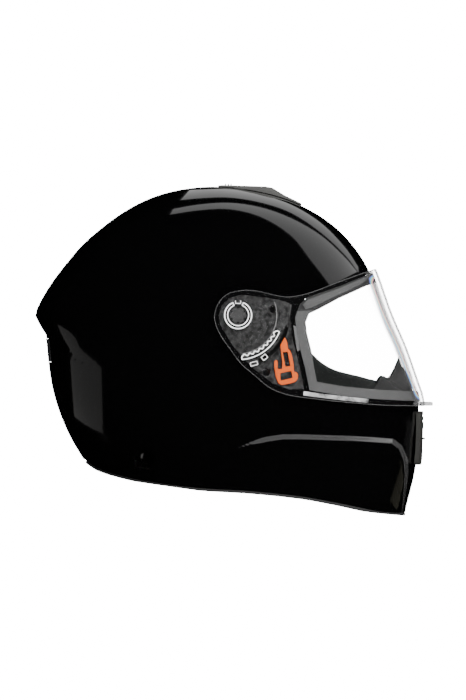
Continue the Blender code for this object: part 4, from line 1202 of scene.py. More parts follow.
@dataclass
class Pivot:
    """The visor's mount on one side: base plate, hub, screws, lever and its spring."""

    side: Side

    def bent(self, plate: Item, low: float, bevel: float) -> Item:
        """Round a flat plate's edges and bend it onto the side of the shell, low over the form."""
        return wrapped(gridded(soften(plate, bevel), 0.004), self.side, low)

    def build(self) -> None:
        """Make every piece of the mount."""
        self.plate()
        self.hub()
        self.screws()
        self.lever()
        self.spring()

    def plate(self) -> None:
        """Mottled plate with the crescent groove that the visor's guide runs in."""
        plate = keep(band(0.0007, -0.0017), prism(BASE_PLATE, *self.side.span(0.06, 0.16)))
        groove = arc(0.0447, -13.5, -65.5, 24) + arc(0.0413, -65.5, -13.5, 24)
        tools = [cut(prism(groove, *self.side.span(0.06, 0.16)), dome(-0.0011, 64))]
        for x, z in SCREWS:
            seat = FORM.width_at(x, z) - 0.0006
            hole = [(0.0, 0.0), (0.0034, 0.0), (0.0034, 0.01), (0.0, 0.01)]
            tools.append(turned(hole, (x, self.side.value * seat, z), (0, self.side.value, 0), 32))
        cut(plate, merge(*tools))

        def in_groove(at: Vector) -> bool:
            """Whether a face is part of the groove."""
            reach, angle = math.hypot(at.x, at.z), math.degrees(math.atan2(at.z, at.x))
            return 0.0411 < reach < 0.0449 and -66.0 < angle < -13.0 and FORM.level(at) < 1.004

        # The groove's faces are painted near black: painted shade in the groove.
        second_finish(plate, PLATE, SHADE_BLACK, in_groove)
        Piece(shade(plate), f"pivot_plate_{self.side.word}", PLATE,
              node=f"visor_base_plate_{self.side.word}").add()
        sliver = [(0.0472, -0.0085), (0.0492, -0.0095), (0.0528, -0.030), (0.0505, -0.031), (0.0487, -0.0200)]
        wedge = self.bent(prism(sliver, 0.0, 0.0013, 0.0007), 0.0009, 0.0002)
        Piece(shade(wedge), f"pivot_wedge_{self.side.word}", SLIVER).add()

    def hub(self) -> None:
        """Round hub with six notches in its rim and a shallow cap."""
        root, top = FORM.half_width - 0.001, FORM.half_width + 0.0033
        profile = [(0.0, root), (0.0066, root), (0.0066, top - 0.0003), (0.0063, top), (0.0050, top),
                   (0.0047, top - 0.0005), (0.0, top - 0.0005)]
        hub = turned(profile, (0, 0, 0), (0, self.side.value, 0), 96)
        notches = []
        for step in range(6):
            angle = math.radians(60.0 * step + 30.0)
            x, z = 0.0066 * math.cos(angle), 0.0066 * math.sin(angle)
            low, high = self.side.span(top - 0.0012, top + 0.001)
            notches.append(turned([(0.0, low), (0.0011, low), (0.0011, high), (0.0, high)], (x, 0, z),
                                  (0, 1, 0), 16))
        cut(hub, merge(*notches))
        # The notches and the hub's side wall are painted near black: painted shade.
        second_finish(hub, HUB, SHADE_BLACK, lambda at: abs(at.y) < top - 0.00055)
        Piece(shade(hub), f"pivot_hub_{self.side.word}", HUB).add()
        x, z = PEG
        low, high = FORM.width_at(x, z, -0.0008), FORM.width_at(x, z, 0.0030)
        peg = turned([(0.0, low), (0.0010, low), (0.0010, high - 0.0003), (0.0007, high), (0.0, high)],
                     (x, 0, z), (0, self.side.value, 0), 24)
        Piece(shade(peg), f"spring_peg_{self.side.word}", HUB).add()

    def screws(self) -> None:
        """Cross-recessed screws in the plate."""
        for number, (x, z) in enumerate(SCREWS, start=1):
            seat = FORM.width_at(x, z) - 0.0003
            profile = [(0.0, -0.0028), (0.0013, -0.0028), (0.0013, 0.0), (0.0029, 0.0), (0.0029, 0.0007),
                       (0.0027, 0.0010), (0.0020, 0.0013), (0.0, 0.0013)]
            screw = turned(profile, (x, self.side.value * seat, z), (0, self.side.value, 0), 40)
            low, high = self.side.span(seat + 0.0006, seat + 0.002)
            cross = merge(block((x - 0.0017, low, z - 0.00035), (x + 0.0017, high, z + 0.00035)))
            cut(screw, cross, block((x - 0.00035, low, z - 0.0017), (x + 0.00035, high, z + 0.0017)))
            node = f"base_plate_screw_{self.side.word}_{number}"
            Piece(shade(screw), f"plate_screw_{self.side.word}_{number}", STEEL, node=node).add()

    def lever(self) -> None:
        """Orange release lever with rounded edges, its spring window and finger hole."""
        lever = prism(inset(LEVER, 0.0003), 0.0, 0.0018, 0.0006)
        windows = merge(prism(inset(SPRING_WINDOW, -0.0004), -0.01, 0.01, 0.0004),
                        prism(inset(FINGER_WINDOW, -0.0004), -0.01, 0.01, 0.0008))
        cut(lever, windows)
        lever = self.bent(lever, 0.0012, 0.00028)
        # The side faces nearest the shell get the darker red: painted shade.
        second_finish(lever, LEVER_ORANGE, LEVER_SHADE, lambda at: abs(at.y) < FORM.width_at(at.x, at.z,
                                                                                           0.0027))
        name = f"release_lever_{self.side.word}"
        Piece(shade(lever), f"lever_{self.side.word}", LEVER_ORANGE, body=name, node=name).add()

    def spring(self) -> None:
        """Round-wire coil between the lever's window and the peg."""
        depth, turns, steps = 0.0021, 7, 14
        top_z, foot_z = -0.0323, PEG[1] + 0.0015
        start = Vector((0.0408, self.side.value * FORM.width_at(0.0408, top_z, depth), top_z))
        end = Vector((0.0423, self.side.value * FORM.width_at(0.0423, foot_z, depth), foot_z))
        axis = (end - start).normalized()
        first = axis.orthogonal().normalized()
        second = axis.cross(first)
        path = []
        for step in range(turns * steps + 1):
            angle = step * math.tau / steps
            spoke = first * math.cos(angle) + second * math.sin(angle)
            path.append(start.lerp(end, step / (turns * steps)) + spoke * 0.0008)
        coil = wire(path, 0.00017)
        Piece(shade(coil), f"lever_spring_{self.side.word}", STEEL, body=f"release_lever_{self.side.word}",
              node=f"release_spring_{self.side.word}", bend=(end, start)).add()


class Visor:
    """The clear shield and all that moves with it."""

    def build(self) -> None:
        """Make the shield, its edge line, its tab, and the collars and ribs inside it."""
        self.shield()
        self.edge()
        self.tab()
        for side in Side:
            self.collar(side)
            self.rack(side)
            self.marks(side)

    def shield(self) -> None:
        """Clear wall, which carries how deep each point lies inside the outline; that depth places the
        painted rainbow stripe.
        """
        outline = curve_points(VISOR_BACK, 0.003)
        shield = keep(band(VISOR_OUT, VISOR_IN, 160), prism(outline[::-1], -FAR, FAR))

        def depth(co: Vector) -> float:
            """Distance from the side view's front edge, faded out above and below."""
            reach = math.hypot(co.x, co.z)
            share = FORM.share(co.x, co.z, VISOR_OUT)
            inside = reach / share - reach if share > 0.5 else 0.015
            low, high = ease((co.z + 0.078) / 0.012), ease((0.040 - co.z) / 0.012)
            return 0.015 - (0.015 - min(0.015, inside)) * low * high

        measure(shield, "edge_depth", depth)
        second_finish(shield, CLEAR, CLEAR_INNER, lambda at: FORM.level(at, (VISOR_IN + VISOR_OUT) / 2) < 1.0)
        polish(shield, VISOR_OUT)
        Piece(shield, "visor_shield", CLEAR, body="visor", node="visor").add()

    def edge(self) -> None:
        """Fine bright bead along the shield's cut edge, a painted highlight that the edge catches."""
        points = loop_on_form(VISOR_BACK, VISOR_OUT - 0.0004, 0.003)
        Piece(shade(wire(points, 0.00026, closed=True)), "visor_edge", CLEAR_EDGE_HIGHLIGHT, body="visor").add()

        for side in Side:
            low = curve_points([(0.0560, -0.0668), (0.0720, -0.0690), (0.0900, -0.0712), (0.1120, -0.0735)],
                               0.002)
            # The strip along the lower edge carries the painted highlight streaks.
            bevel = self.rib(low, 0.0034, -0.0008, 0.0, side)
            Piece(shade(bevel), f"visor_bevel_{side.word}", CLEAR_STREAK_HIGHLIGHT, body="visor").add()

    def tab(self) -> None:
        """Lifting tab at the lower edge."""
        tab = block((0.160, -0.013, -0.0786), (0.1705, 0.013, -0.0752), bevel=0.0009, segments=3)
        # The clear tab is painted light grey: a faint painted highlight.
        Piece(shade(tab), "visor_tab", CLEAR_DIM_HIGHLIGHT, body="visor").add()

    def collar(self, side: Side) -> None:
        """Split collar that turns on the hub: two rings joined at a gap on top."""
        low, high = FORM.half_width + 0.0011, FORM.half_width + VISOR_IN + 0.0002
        parts = []
        for outer, inner in ((0.0120, 0.0110), (0.0094, 0.0086)):
            path = arc((outer + inner) / 2, 113.0, 427.0, 64)
            parts.append(self.rib(path, outer - inner, low, high, side, on_wall=False))
        for angle in (113.0, 67.0):
            ends = [arc(radius, angle, angle, 1)[0] for radius in (0.0088, 0.0118)]
            parts.append(self.rib(ends, 0.0009, low, high, side, on_wall=False))
        collar = merge(*parts)
        # The collar's clear rings are painted near white: painted highlights.
        Piece(shade(collar), f"visor_collar_{side.word}", CLEAR_HIGHLIGHT, body="visor").add()
        # Near-black ring between the collar's clear rings: painted shade.
        disc = arc(0.0110, 115.0, 425.0, 48) + arc(0.0094, 425.0, 115.0, 48)
        floor = prism(disc, *side.span(high - 0.0012, high))
        Piece(shade(floor), f"visor_collar_floor_{side.word}", SHADE_BLACK, body="visor",
              slot="clear_shield").add()

    @staticmethod
    def rib(path: Sequence[Point], width: float, low: float, high: float, side: Side, on_wall: bool = True
            ) -> Item:
        """A square rib along a side view path.

        Args:
            path: Places along the rib.
            width: Its width.
            low: Where its inner face lies.
            high: Where its outer face lies.
            side: Which side of the helmet it is on.
            on_wall: Whether low and high count from the shield's inside, or from the helmet's middle.

        Returns:
            The closed rib.
        """
        frames = []
        for index, (x, z) in enumerate(path):
            before, after = path[max(0, index - 1)], path[min(len(path) - 1, index + 1)]
            across = Vector((before[1] - after[1], 0.0, after[0] - before[0])).normalized()
            seat = FORM.width_at(x, z, VISOR_IN) + 0.0002 if on_wall else 0.0
            frames.append((Vector((x, side.value * seat, z)), across, Vector((0.0, side.value, 0.0))))
        return carried(frames, [(-width / 2, low), (width / 2, low), (width / 2, high), (-width / 2, high)])

    def rack(self, side: Side) -> None:
        """Toothed arc that clicks over the plate, and the fine arc inside it."""
        outer = arc(0.0381, -22.0, -85.0, 48)
        inner = []
        for step in range(97):
            angle = -85.0 + 63.0 * step / 96
            inner.append((0.0347 + 0.0008 * math.cos(math.tau * 8.0 * step / 96), math.radians(angle)))
        teeth = [(reach * math.cos(angle), reach * math.sin(angle)) for reach, angle in inner]
        lines = (outer, teeth, (outer[0], teeth[-1]), (outer[-1], teeth[0]))
        parts = [self.rib(line, 0.0009, -0.0014, 0.0, side) for line in lines]
        # The clear rack is painted near white: painted highlights.
        Piece(shade(merge(*parts)), f"visor_rack_{side.word}", CLEAR_HIGHLIGHT, body="visor").add()
        fine = self.rib(arc(0.0330, 20.0, -84.0, 60), 0.0006, -0.0006, 0.0, side)
        # The clear fine arc is painted light grey: a faint painted highlight.
        Piece(shade(fine), f"visor_arc_{side.word}", CLEAR_DIM_HIGHLIGHT, body="visor").add()

    def marks(self, side: Side) -> None:
        """Small moulded pads and the bracket over the collar."""
        def pad(width: float, height: float, turn: float, centre: Point) -> list[Point]:
            """Corners of a turned rectangle."""
            angle = math.radians(turn)
            corners = ((-width, -height), (width, -height), (width, height), (-width, height))
            return [(centre[0] + (u * math.cos(angle) - v * math.sin(angle)) / 2,
                     centre[1] + (u * math.sin(angle) + v * math.cos(angle)) / 2) for u, v in corners]

        pads = (pad(0.0045, 0.0035, 40.0, (0.0225, -0.036)), pad(0.006, 0.003, 15.0, (0.0135, -0.0415)))
        bracket = [(-0.0022, 0.0125), (-0.0022, 0.0100), (0.0022, 0.0100), (0.0022, 0.0125)]
        parts = []
        for line in (*([*shape, shape[0]] for shape in pads), bracket):
            parts.extend(self.rib(pair, 0.0005, -0.0010, 0.0, side) for pair in zip(line, line[1:]))
        # The clear pads and bracket are painted near white: painted highlights.
        Piece(shade(merge(*parts)), f"visor_marks_{side.word}", CLEAR_HIGHLIGHT, body="visor").add()


class Vents:
    """The crown intake, the chin intake and what closes them."""

    def build(self) -> None:
        """Make the hood, its slider, the chin shield and its shutter."""
        self.hood()
        self.slider()
        self.chin()
        self.shutter()

    def hood(self) -> None:
        """Hood with rounded flanks over the crown intake."""
        outline = [(-0.018, 0.104), (0.0555, 0.088), (0.0555, 0.0985), (0.041, 0.1055), (0.030, 0.1122),
                   (0.024, 0.1133), (-0.014, 0.1145), (-0.018, 0.1140)]
        hood = soften(prism(outline, -0.017, 0.017), 0.0012, 3)
        cut(hood, dome(0.0006, 128), block((-0.0195, -0.008, 0.10), (0.0075, 0.008, 0.13)))
        Piece(shade(hood), "crown_hood", VENT, node="top_vent_hood").add()

    def slider(self) -> None:
        """Slider with a ridged thumb grip."""
        slider = block((-0.0140, -0.0077, 0.1115), (-0.0030, 0.0077, 0.1145), 0.0004)
        grips = [block((x, -0.0057, 0.1140), (x + 0.0012, 0.0057, 0.1160), 0.0004)
                 for x in (-0.0115, -0.0091, -0.0067)]
        Piece(shade(merge(slider, *grips)), "crown_slider", VENT, body="top_vent_slider",
              node="top_vent_slider").add()

    def chin(self) -> None:
        """Chin shield with its window and two raised light edges."""
        shield = keep(band(0.0045, GAP), block((0.1, -0.034, -0.130), (0.19, 0.034, -0.0835), 0.004, 3))
        tools = [block((0.1, -0.0165, -0.1168), (0.19, 0.0165, -0.0985))]
        for z in (-0.0878, -0.0925):
            groove = block((0.1, -0.030, z), (0.19, 0.030, z + 0.0012))
            tools.append(cut(groove, dome(0.0036, 96)))
        cut(shield, merge(*tools))
        Piece(shade(shield), "chin_shield", CHIN_VENT, node="chin_vent_shield").add()

    def shutter(self) -> None:
        """Shutter in the chin shield's window."""
        shutter = keep(band(0.0034, 0.0008), block((0.1, -0.0161, -0.1164), (0.19, 0.0161, -0.1046)))
        knob = block((0.1605, -0.006, -0.1082), (0.1640, 0.006, -0.1066), 0.0004)
        Piece(shade(merge(shutter, knob)), "chin_shutter", CHIN_VENT, body="chin_vent_shutter",
              node="chin_vent_shutter").add()


CAVITY_CENTRE = Vector((-0.015, 0.0, -0.020))
CAVITY_RADII = Vector((0.118, 0.088, 0.100))
CHEEK_PAD: tuple[Point, ...] = (
    (-0.055, -0.124), (0.080, -0.124), (0.110, -0.110), (0.128, -0.078), (0.128, -0.058),
    (0.101, -0.0505), (0.083, -0.0455), (0.072, -0.039), (0.0645, -0.031), (0.0565, -0.0325),
    (0.0535, -0.0365), (-0.055, -0.040),
)


def apply_all(item: Item) -> Item:
    """Bake an item's modifiers into its mesh."""
    depsgraph = bpy.context.evaluated_depsgraph_get()
    result = bpy.data.meshes.new_from_object(item.evaluated_get(depsgraph))
    item.modifiers.clear()
    old = item.data
    item.data = result
    bpy.data.meshes.remove(old)
    return item


def puffed(item: Item, voxel: float, pressure: float, limit: float) -> Item:
    """Stuff a closed solid: remesh it evenly and let its cover swell as cloth.

    Args:
        item: The closed solid.
        voxel: Size of the even mesh's faces.
        pressure: Pressure inside the cover.
        limit: How far any point may move.

    Returns:
        The same object, stuffed.
    """
    remesh = item.modifiers.new("even", "REMESH")
    remesh.mode = "VOXEL"
    remesh.voxel_size = voxel
    apply_all(item)
    rest = [vert.co.copy() for vert in item.data.vertices]
    cloth = item.modifiers.new("cover", "CLOTH")
    cloth.settings.quality = 5
    cloth.settings.mass = 0.15
    cloth.settings.tension_stiffness = cloth.settings.compression_stiffness = 12.0
    cloth.settings.shear_stiffness = 8.0
    cloth.settings.use_pressure = True
    cloth.settings.uniform_pressure_force = pressure
    cloth.settings.effector_weights.gravity = 0.0
    cloth.point_cache.frame_start, cloth.point_cache.frame_end = 1, 20
    for step in range(1, 21):
        bpy.context.scene.frame_set(step)
    apply_all(item)
    bpy.context.scene.frame_set(1)
    for vert, start in zip(item.data.vertices, rest):
        moved = vert.co - start
        if moved.length > limit:
            vert.co = start + moved.normalized() * limit
    smooth = item.modifiers.new("smooth", "SUBSURF")
    smooth.levels = smooth.render_levels = 1
    apply_all(item)
    item.data.shade_smooth()
    return item


class Liner:
    """Foam, pads and the other soft parts inside the shell."""

    def build(self) -> None:
        """Make the foam first, then the pads, then what closes the lower edge."""
        self.crown_foam()
        self.chin_foam()
        self.comfort()
        self.neck_roll()
        for side in Side:
            self.cheek_foam(side)
            self.cheek_pad(side)
        self.curtain()
        self.deflector()

    def crown_foam(self) -> None:
        """Beaded foam bowl of the crown and the back of the head."""
        foam = cut(dome(-0.0044, 96), egg(CAVITY_RADII, CAVITY_CENTRE))
        low = [(-0.096, -0.30), (FAR, -0.30), (FAR, -0.035), (-0.075, -0.035), (-0.075, -0.100), (-0.096,
                                                                                                  -0.100)]
        cut(foam, prism(low, -FAR, FAR))
        cut(foam, prism([(-FAR, -0.30), (0.0, -0.30), (0.0, -0.118), (-FAR, -0.118)], -FAR, FAR))
        cut(foam, prism(inset(EYE_PORT, -GAP), -FAR, FAR))
        Piece(shade(foam), "crown_foam", FOAM, node="crown_foam_liner").add()

    def chin_foam(self) -> None:
        """Beaded foam bar inside the chin."""
        outline = [(0.0745, -0.150), (0.160, -0.163), (FAR, -0.163), (FAR, -0.080), (0.0745, -0.080)]
        foam = keep(band(-0.0044, -0.024), prism(outline, -FAR, FAR))
        Piece(shade(foam), "chin_foam", FOAM, node="chin_foam_liner").add()

    def comfort(self) -> None:
        """Quilted fabric padding over the crown of the head."""
        thin = Vector((0.0075, 0.0075, 0.0075))
        gap = Vector((0.0008, 0.0008, 0.0008))
        pad = cut(egg(CAVITY_RADII - gap, CAVITY_CENTRE), egg(CAVITY_RADII - thin, CAVITY_CENTRE))
        cut(pad, prism([(-0.080, -0.30), (FAR, -0.30), (FAR, -0.030), (-0.080, -0.030)], -FAR, FAR))
        cut(pad, prism([(-FAR, -0.30), (0.0, -0.30), (0.0, -0.092), (-FAR, -0.092)], -FAR, FAR))
        cut(pad, prism(inset(EYE_PORT, -0.0045), -FAR, FAR))
        puffed(pad, 0.0035, 1.5, 0.0005)
        Piece(pad, "crown_pad", FABRIC, node="crown_comfort_liner").add()

    def neck_roll(self) -> None:
        """Padded roll along the rear lower edge."""
        outline = [(-0.136, -0.1190), (-0.122, -0.1290), (-0.110, -0.1340), (-0.096, -0.1385),
                   (-0.096, -0.1185), (-0.136, -0.1185)]
        roll = keep(band(-0.0052, -0.0255), prism(inset(outline, 0.0006), -FAR, FAR))
        puffed(roll, 0.0035, 3.0, 0.0007)
        Piece(roll, "neck_roll_pad", FABRIC_DARK, node="neck_roll").add()

    def cheek_foam(self, side: Side) -> None:
        """Beaded foam block behind the cheek pad."""
        outline = [(-0.055, -0.128), (0.074, -0.128), (0.074, -0.080), (0.058, -0.070), (0.054, -0.060),
                   (0.0475, -0.0365), (-0.062, -0.0365)]
        foam = cut(keep(dome(-0.0044, 96), prism(outline, *side.span(0.05, 0.16))), dome(-0.0332, 96))
        Piece(shade(foam), f"cheek_block_{side.word}", FOAM, node=f"cheek_foam_{side.word}").add()

    def cheek_pad(self, side: Side) -> None:
        """Stuffed cheek pad with a piped seam round its inner face."""
        pad = keep(dome(-0.0341, 96), prism(inset(CHEEK_PAD, 0.0006), *side.span(0.0306, 0.16)))
        cut(pad, dome(-0.0524, 96))
        puffed(pad, 0.004, 4.0, 0.0008)
        Piece(pad, f"cheek_cushion_{side.word}", FABRIC, node=f"cheek_pad_{side.word}").add()
        path = []
        for x, z in curve_points([*inset(CHEEK_PAD, 0.003), inset(CHEEK_PAD, 0.003)[0]], 0.003)[:-1]:
            y = max(0.0300, FORM.width_at(x, z, -0.0528))
            path.append(Vector((x, side.value * y, z)))
        bead = wire(path, 0.0011, closed=True, sides=8)
        Piece(shade(bead), f"cheek_piping_{side.word}", PIPING).add()

    def curtain(self) -> None:
        """Sheet that closes the space under the chin, stretched from the rim."""
        inner, columns, rows = 0.068, 56, 10
        height = -0.1655

        def reach(turn: float) -> float:
            """Distance from the throat's centre to the shell's inside."""
            low, high = inner, 0.14
            for _ in range(24):
                middle = (low + high) / 2
                x, y = 0.040 + middle * math.cos(turn), abs(middle * math.sin(turn))
                if y < FORM.width_at(x, height + 0.002, -0.0062):
                    low = middle
                else:
                    high = middle
            return low

        mesh = bmesh.new()
        bmesh.ops.create_grid(mesh, x_segments=columns, y_segments=rows, size=1.0)
        for vert in mesh.verts:
            turn, share = math.radians(47.0) * vert.co.x, (vert.co.y + 1.0) / 2.0
            far = reach(turn)
            out = inner + (far - inner) * share
            x, y = 0.040 + out * math.cos(turn), out * math.sin(turn)
            sag = 0.0012 * math.sin(math.pi * share) * (0.6 + 0.4 * math.cos(9.0 * turn))
            z = -0.1590 - (x - 0.085) * 0.1385 + 0.0010 - sag
            vert.co = (x, y, z)
        area = sum(face.calc_area() for face in mesh.faces)
        bmesh.ops.solidify(mesh, geom=list(mesh.faces), thickness=0.0009)
        sheet = to_object("curtain", mesh)
        Piece(shade(sheet), "chin_cloth", FABRIC_DARK, node="chin_curtain").add()

    def deflector(self) -> None:
        """Rubber mask on the chin bar with a stitched hem."""
        half_width, base = 0.050, -0.0762

        def place(lateral: float, level: float) -> Vector:
            """Point of the mask, from its middle to its side and from its foot to its top."""
            lobe = 0.010 * math.exp(-(((abs(lateral) - 0.80) / 0.14) ** 2))
            top = -0.0355 - 0.030 * (1.0 - math.cos(math.pi * lateral)) / 2.0 + lobe
            bulge = 0.0055 * math.sin(math.pi * min(1.0, level * 1.25)) * (1.0 - 0.5 * lateral**2)
            lean = -0.0075 * level**2 - 0.015 * lateral**2 * level
            return Vector((0.1483 - 0.0095 * lateral**2 + bulge + lean, half_width * lateral,
                           base + (top - base) * level))

        mesh = bmesh.new()
        bmesh.ops.create_grid(mesh, x_segments=84, y_segments=26, size=1.0)
        for vert in mesh.verts:
            vert.co = place(vert.co.x, (vert.co.y + 1.0) / 2.0)
        bmesh.ops.solidify(mesh, geom=list(mesh.faces), thickness=0.0016)
        mask = shade(to_object("mask", mesh))
        Piece(mask, "breath_mask", MASK, node="breath_deflector").add()
        stitches = []
        for step in range(37):
            lateral = -0.92 + 1.84 * step / 36
            z_level = 0.0088 / max(0.004, place(lateral, 1.0).z - base)
            if z_level > 0.9:
                continue
            points = [place(lateral + shift, z_level) + Vector((0.0002, 0, 0)) for shift in (-0.016, 0.0,
                                                                                             0.016)]
            stitches.append(wire(points, 0.00035))
        Piece(shade(merge(*stitches)), "breath_mask_stitches", THREAD, slot="rubber_edge").add()


STRAP_HEIGHT = -0.137
STRAP_X = -0.005


def strap_point(y: float) -> Vector:
    """Middle of the webbing at y."""
    share = abs(y) / 0.088
    return Vector((STRAP_X - 0.072 * share**1.6, y, STRAP_HEIGHT + 0.007 * share**4))


def strap_frames(side: Side, start: float, end: float, count: int) -> list[Frame]:
    """Frames along one half of the strap: its width and its thickness directions."""
    frames = []
    for step in range(count):
        y = side.value * (start + (end - start) * step / (count - 1))
        along = (strap_point(y + side.value * 0.001) - strap_point(y - side.value * 0.001)).normalized()
        wide = along.cross(Vector((0, 0, 1))).normalized()
        frames.append((strap_point(y), wide, wide.cross(along).normalized()))
    return frames


class Retention:
    """Chin strap, its sleeves and the pull ribbon."""

    def build(self) -> None:
        """Make both halves of the strap and the ribbon."""
        for side, start, sleeve in ((Side.LEFT, 0.0245, 0.0380), (Side.RIGHT, 0.0510, 0.0545)):
            self.webbing(side, start)
            self.sleeve(side, sleeve)
        self.ribbon()

    def webbing(self, side: Side, start: float) -> None:
        """Woven strap with a rolled edge along each side."""
        frames = strap_frames(side, start, 0.0795, 60)
        section = rounded(0.0248, 0.0017, 0.0007)
        strap = carried(frames, section)
        edges = []
        for edge in (-1.0, 1.0):
            edges.append(wire([origin + wide * edge * 0.0118 for origin, wide, _ in frames], 0.0009, sides=8))
        Piece(shade(merge(strap, *edges)), f"strap_web_{side.word}", WEBBING,
              node=f"chin_strap_{side.word}").add()

    def sleeve(self, side: Side, start: float) -> None:
        """Padded sleeve, fuller in its middle; the seam down each edge isn't modelled."""
        count = 40
        frames = strap_frames(side, start, 0.0735, count)
        shape = carried(frames, rounded(0.0305, 0.0068, 0.0030, 5))
        inner = carried(strap_frames(side, start - 0.004, 0.0775, 30), rounded(0.0262, 0.0028, 0.0006))
        cut(shape, inner)
        puffed(shape, 0.0009, 1.0, 0.0003)
        Piece(shape, f"strap_pad_{side.word}", FABRIC, node=f"strap_sleeve_{side.word}").add()

    def ribbon(self) -> None:
        """Pull ribbon at the lever's bar, as one flat strip; its fold round the bar isn't modelled."""
        corners = [(-0.0125, -0.0078), (-0.0210, -0.0085), (-0.0300, -0.0072), (-0.0360, -0.0066)]
        path = curve_points(corners, 0.001)
        frames = [(Vector((STRAP_X, y, STRAP_HEIGHT + drop)), Vector((1, 0, 0)), Vector((0, 0, 1)))
                  for y, drop in path]
        ribbon = carried(frames, rounded(0.012, 0.0011, 0.0005))
        Piece(shade(ribbon), "pull_tab", PULL, body="buckle_lever", node="pull_ribbon").add()


class Carried:
    """CAD nodes that are shown as they are, in a finish of this scene."""

    FINISHES: dict[str, Finish] = {
        "strap_anchor_left": STEEL, "strap_anchor_right": STEEL, "buckle_body": STEEL,
        "buckle_lever": STEEL, "buckle_pin": STEEL, "buckle_spring": STEEL, "ratchet_tongue": HUB,
    }

    def build(self) -> None:
        """Paint the nodes that no piece replaces."""
        for name, finish in self.FINISHES.items():
            node = bpy.data.objects[name]
            node.data.materials.clear()
            node.data.materials.append(finish.make())


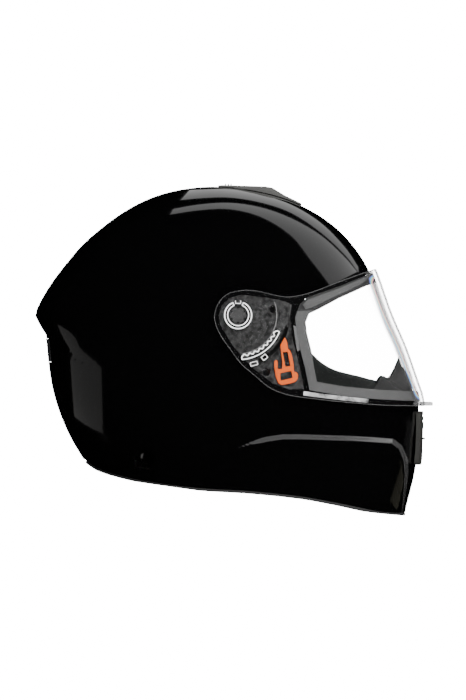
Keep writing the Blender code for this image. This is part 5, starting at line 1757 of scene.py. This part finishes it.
class Studio:
    """Camera, floor and lights."""

    HEIGHT_M = 0.6139
    EYE = Vector((-0.0044, -5.0, -0.0298))
    SKY = (17.0, 0.0012, 0.45)
    LAMPS = {"key": (85.0, 1.2, (0.3, -1.6, 1.3)), "fill": (30.0, 1.0, (1.4, -0.9, 0.3))}
    CARD_DISTANCE = 1.5
    CARDS: dict[str, tuple[float, Colour, tuple[Point, ...], tuple[Point, ...]]] = {
        "crown_card": (
            0.56, (1.0, 1.0, 1.0),
            ((-0.0421, 0.1096), (-0.033, 0.1099), (-0.007, 0.1103), (0.0193, 0.1055), (0.0456, 0.0968),
             (0.0719, 0.0806), (0.0938, 0.0580), (0.1044, 0.0420)),
            ((-0.0500, 0.1000), (-0.033, 0.1016), (-0.007, 0.1022), (0.0193, 0.0980), (0.0456, 0.0890),
             (0.0719, 0.0715), (0.0938, 0.0510), (0.1044, 0.0370))),
        "brow_card": (
            0.80, (1.0, 1.0, 1.0),
            ((-0.0561, 0.0921), (-0.033, 0.0960), (-0.007, 0.0974), (0.0193, 0.0936), (0.0456, 0.0842),
             (0.0719, 0.0690), (0.0938, 0.0490), (0.1030, 0.0380)),
            ((-0.0589, 0.0871), (-0.033, 0.0908), (-0.007, 0.0916), (0.0193, 0.0850), (0.0456, 0.0685),
             (0.0623, 0.0474), (0.0720, 0.0350), (0.0789, 0.0254))),
        "rear_card": (
            0.22, (1.0, 1.0, 0.98),
            ((-0.1460, -0.0262), (-0.134, -0.0312), (-0.1175, -0.0450)),
            ((-0.1420, -0.0877), (-0.130, -0.0960), (-0.1166, -0.1017))),
        "chin_card": (
            0.03, (1.0, 1.0, 1.0),
            ((0.1456, -0.0910), (0.1462, -0.1070), (0.1450, -0.1180)),
            ((0.1517, -0.0910), (0.1520, -0.1070), (0.1510, -0.1228))),
        "jaw_card": (
            0.10, (1.0, 0.97, 0.75),
            ((0.1415, -0.1290), (0.1368, -0.1438), (0.1324, -0.1610)),
            ((0.1425, -0.1290), (0.1418, -0.1450), (0.1405, -0.1610))),
    }

    def build(self) -> None:
        """Make the camera, the pale floor, the world and the soft lights."""
        self.camera()
        self.floor()
        self.world()
        self.lights()

    def camera(self) -> None:
        """A long lens square to the helmet's right side, level with the worn frame."""
        data = bpy.data.cameras.new("side_view")
        data.sensor_width = 36.0
        data.lens = 36.0 * -self.EYE.y / self.HEIGHT_M
        data.clip_start, data.clip_end = 0.05, 60.0
        camera = bpy.data.objects.new("side_view", data)
        bpy.context.scene.collection.objects.link(camera)
        turn = Matrix.Rotation(math.pi / 2, 4, "X")
        camera.matrix_world = STAND @ Matrix.Translation(self.EYE) @ turn
        bpy.context.scene.camera = camera

    def floor(self) -> None:
        """Plain pale floor with a faint mottle, which only gives light back."""
        mesh = bmesh.new()
        bmesh.ops.create_grid(mesh, x_segments=1, y_segments=1, size=1.5)
        item = to_object("floor", mesh)
        paint = Finish("floor_paint", grey(0.9), 0.8, tint=grey(0.882), spread=0.3, patch=0.3, specular=0.2)
        item.data.materials.append(paint.make())
        item.location.z = -0.0003
        item.visible_glossy = False
        item.visible_camera = False

    def world(self) -> None:
        """White to the camera, dim to reflections, soft grey as light."""
        world = bpy.data.worlds.new("studio")
        world.use_nodes = True
        tree = world.node_tree
        tree.nodes.clear()
        white, dim, soft = (add_node(tree, "Background", {"Color": (1.0, 1.0, 1.0, 1.0),
                                                          "Strength": level}).outputs[0]
                            for level in self.SKY)
        path = add_node(tree, "LightPath")
        reflected = add_node(tree, "MixShader", {0: path.outputs["Is Glossy Ray"], 1: soft, 2: dim})
        seen = add_node(tree, "MixShader", {0: path.outputs["Is Camera Ray"], 1: reflected.outputs[0],
                                            2: white})
        add_node(tree, "OutputWorld", {"Surface": seen.outputs[0]})
        bpy.context.scene.world = world

    def lights(self) -> None:
        """Soft key and fill, and the cards that the gloss reflects."""
        for name, (power, size, place) in self.LAMPS.items():
            self.lamp(name, power, size, Vector(place))
        for name, description in self.CARDS.items():
            self.card(name, *description)

    def card(self, name: str, level: float, tint: Colour, upper: Sequence[Point],
             lower: Sequence[Point]) -> None:
        """A bright card placed where the shell mirrors it into a band of the side view.

        Args:
            name: The card's name.
            level: How brightly it glows.
            tint: Its colour.
            upper: Side view corners of the highlight's one edge, on the right side.
            lower: Corners of its other edge, in the same direction.
        """
        edges = [even_out([Vector((x, 0.0, z)) for x, z in curve_points(edge, 0.001)], 32)
                 for edge in (upper, lower)]
        mesh = bmesh.new()
        rows = []
        for top, foot in zip(*edges):
            spots = [top.lerp(foot, part / 6) for part in range(7)]
            rows.append([mesh.verts.new(self.mirrored(spot.x, spot.z)) for spot in spots])
        for first, second in zip(rows, rows[1:]):
            for part in range(6):
                mesh.faces.new((first[part], first[part + 1], second[part + 1], second[part]))
        self.hang(name, mesh, level, tint)

    def mirrored(self, x: float, z: float) -> Vector:
        """A point far along the camera's ray after the shell's right side mirrors it."""
        point = Vector((x, -FORM.width_at(x, z, FORM.lift(x, z)), z))
        outward = FORM.relief_normal(point)
        ray = (point - self.EYE).normalized()
        return point + (ray - 2.0 * ray.dot(outward) * outward) * self.CARD_DISTANCE

    def hang(self, name: str, mesh: Mesh, level: float, tint: Colour) -> None:
        """Turn a mesh into a glowing card that only reflections see."""
        mesh.transform(STAND)
        item = to_object(name, mesh)
        material = bpy.data.materials.new(name)
        material.use_nodes = True
        tree = material.node_tree
        tree.nodes.clear()
        glow = add_node(tree, "Emission", {"Color": (*tint, 1.0), "Strength": level})
        add_node(tree, "OutputMaterial", {"Surface": glow.outputs[0]})
        item.data.materials.append(material)
        item.visible_camera = item.visible_diffuse = item.visible_shadow = item.visible_transmission = False

    @staticmethod
    def lamp(name: str, power: float, size: float, place: Vector) -> None:
        """A square soft light that faces the helmet and isn't seen in its gloss."""
        data = bpy.data.lights.new(name, "AREA")
        data.size = size
        data.energy = power
        lamp = bpy.data.objects.new(name, data)
        bpy.context.scene.collection.objects.link(lamp)
        lamp.location = place
        lamp.rotation_euler = (Vector((0.0, 0.0, 0.15)) - place).to_track_quat("-Z", "Y").to_euler()
        lamp.visible_glossy = False
        lamp.visible_camera = False


def main() -> None:
    """Build the helmet, one sub-assembly after another."""
    logging.basicConfig(level=logging.INFO, format="%(name)s %(message)s")
    Shell().build()
    Visor().build()
    for side in Side:
        Pivot(side).build()
    Vents().build()
    Liner().build()
    Retention().build()
    Carried().build()
    Studio().build()


if __name__ == "__main__":
    main()
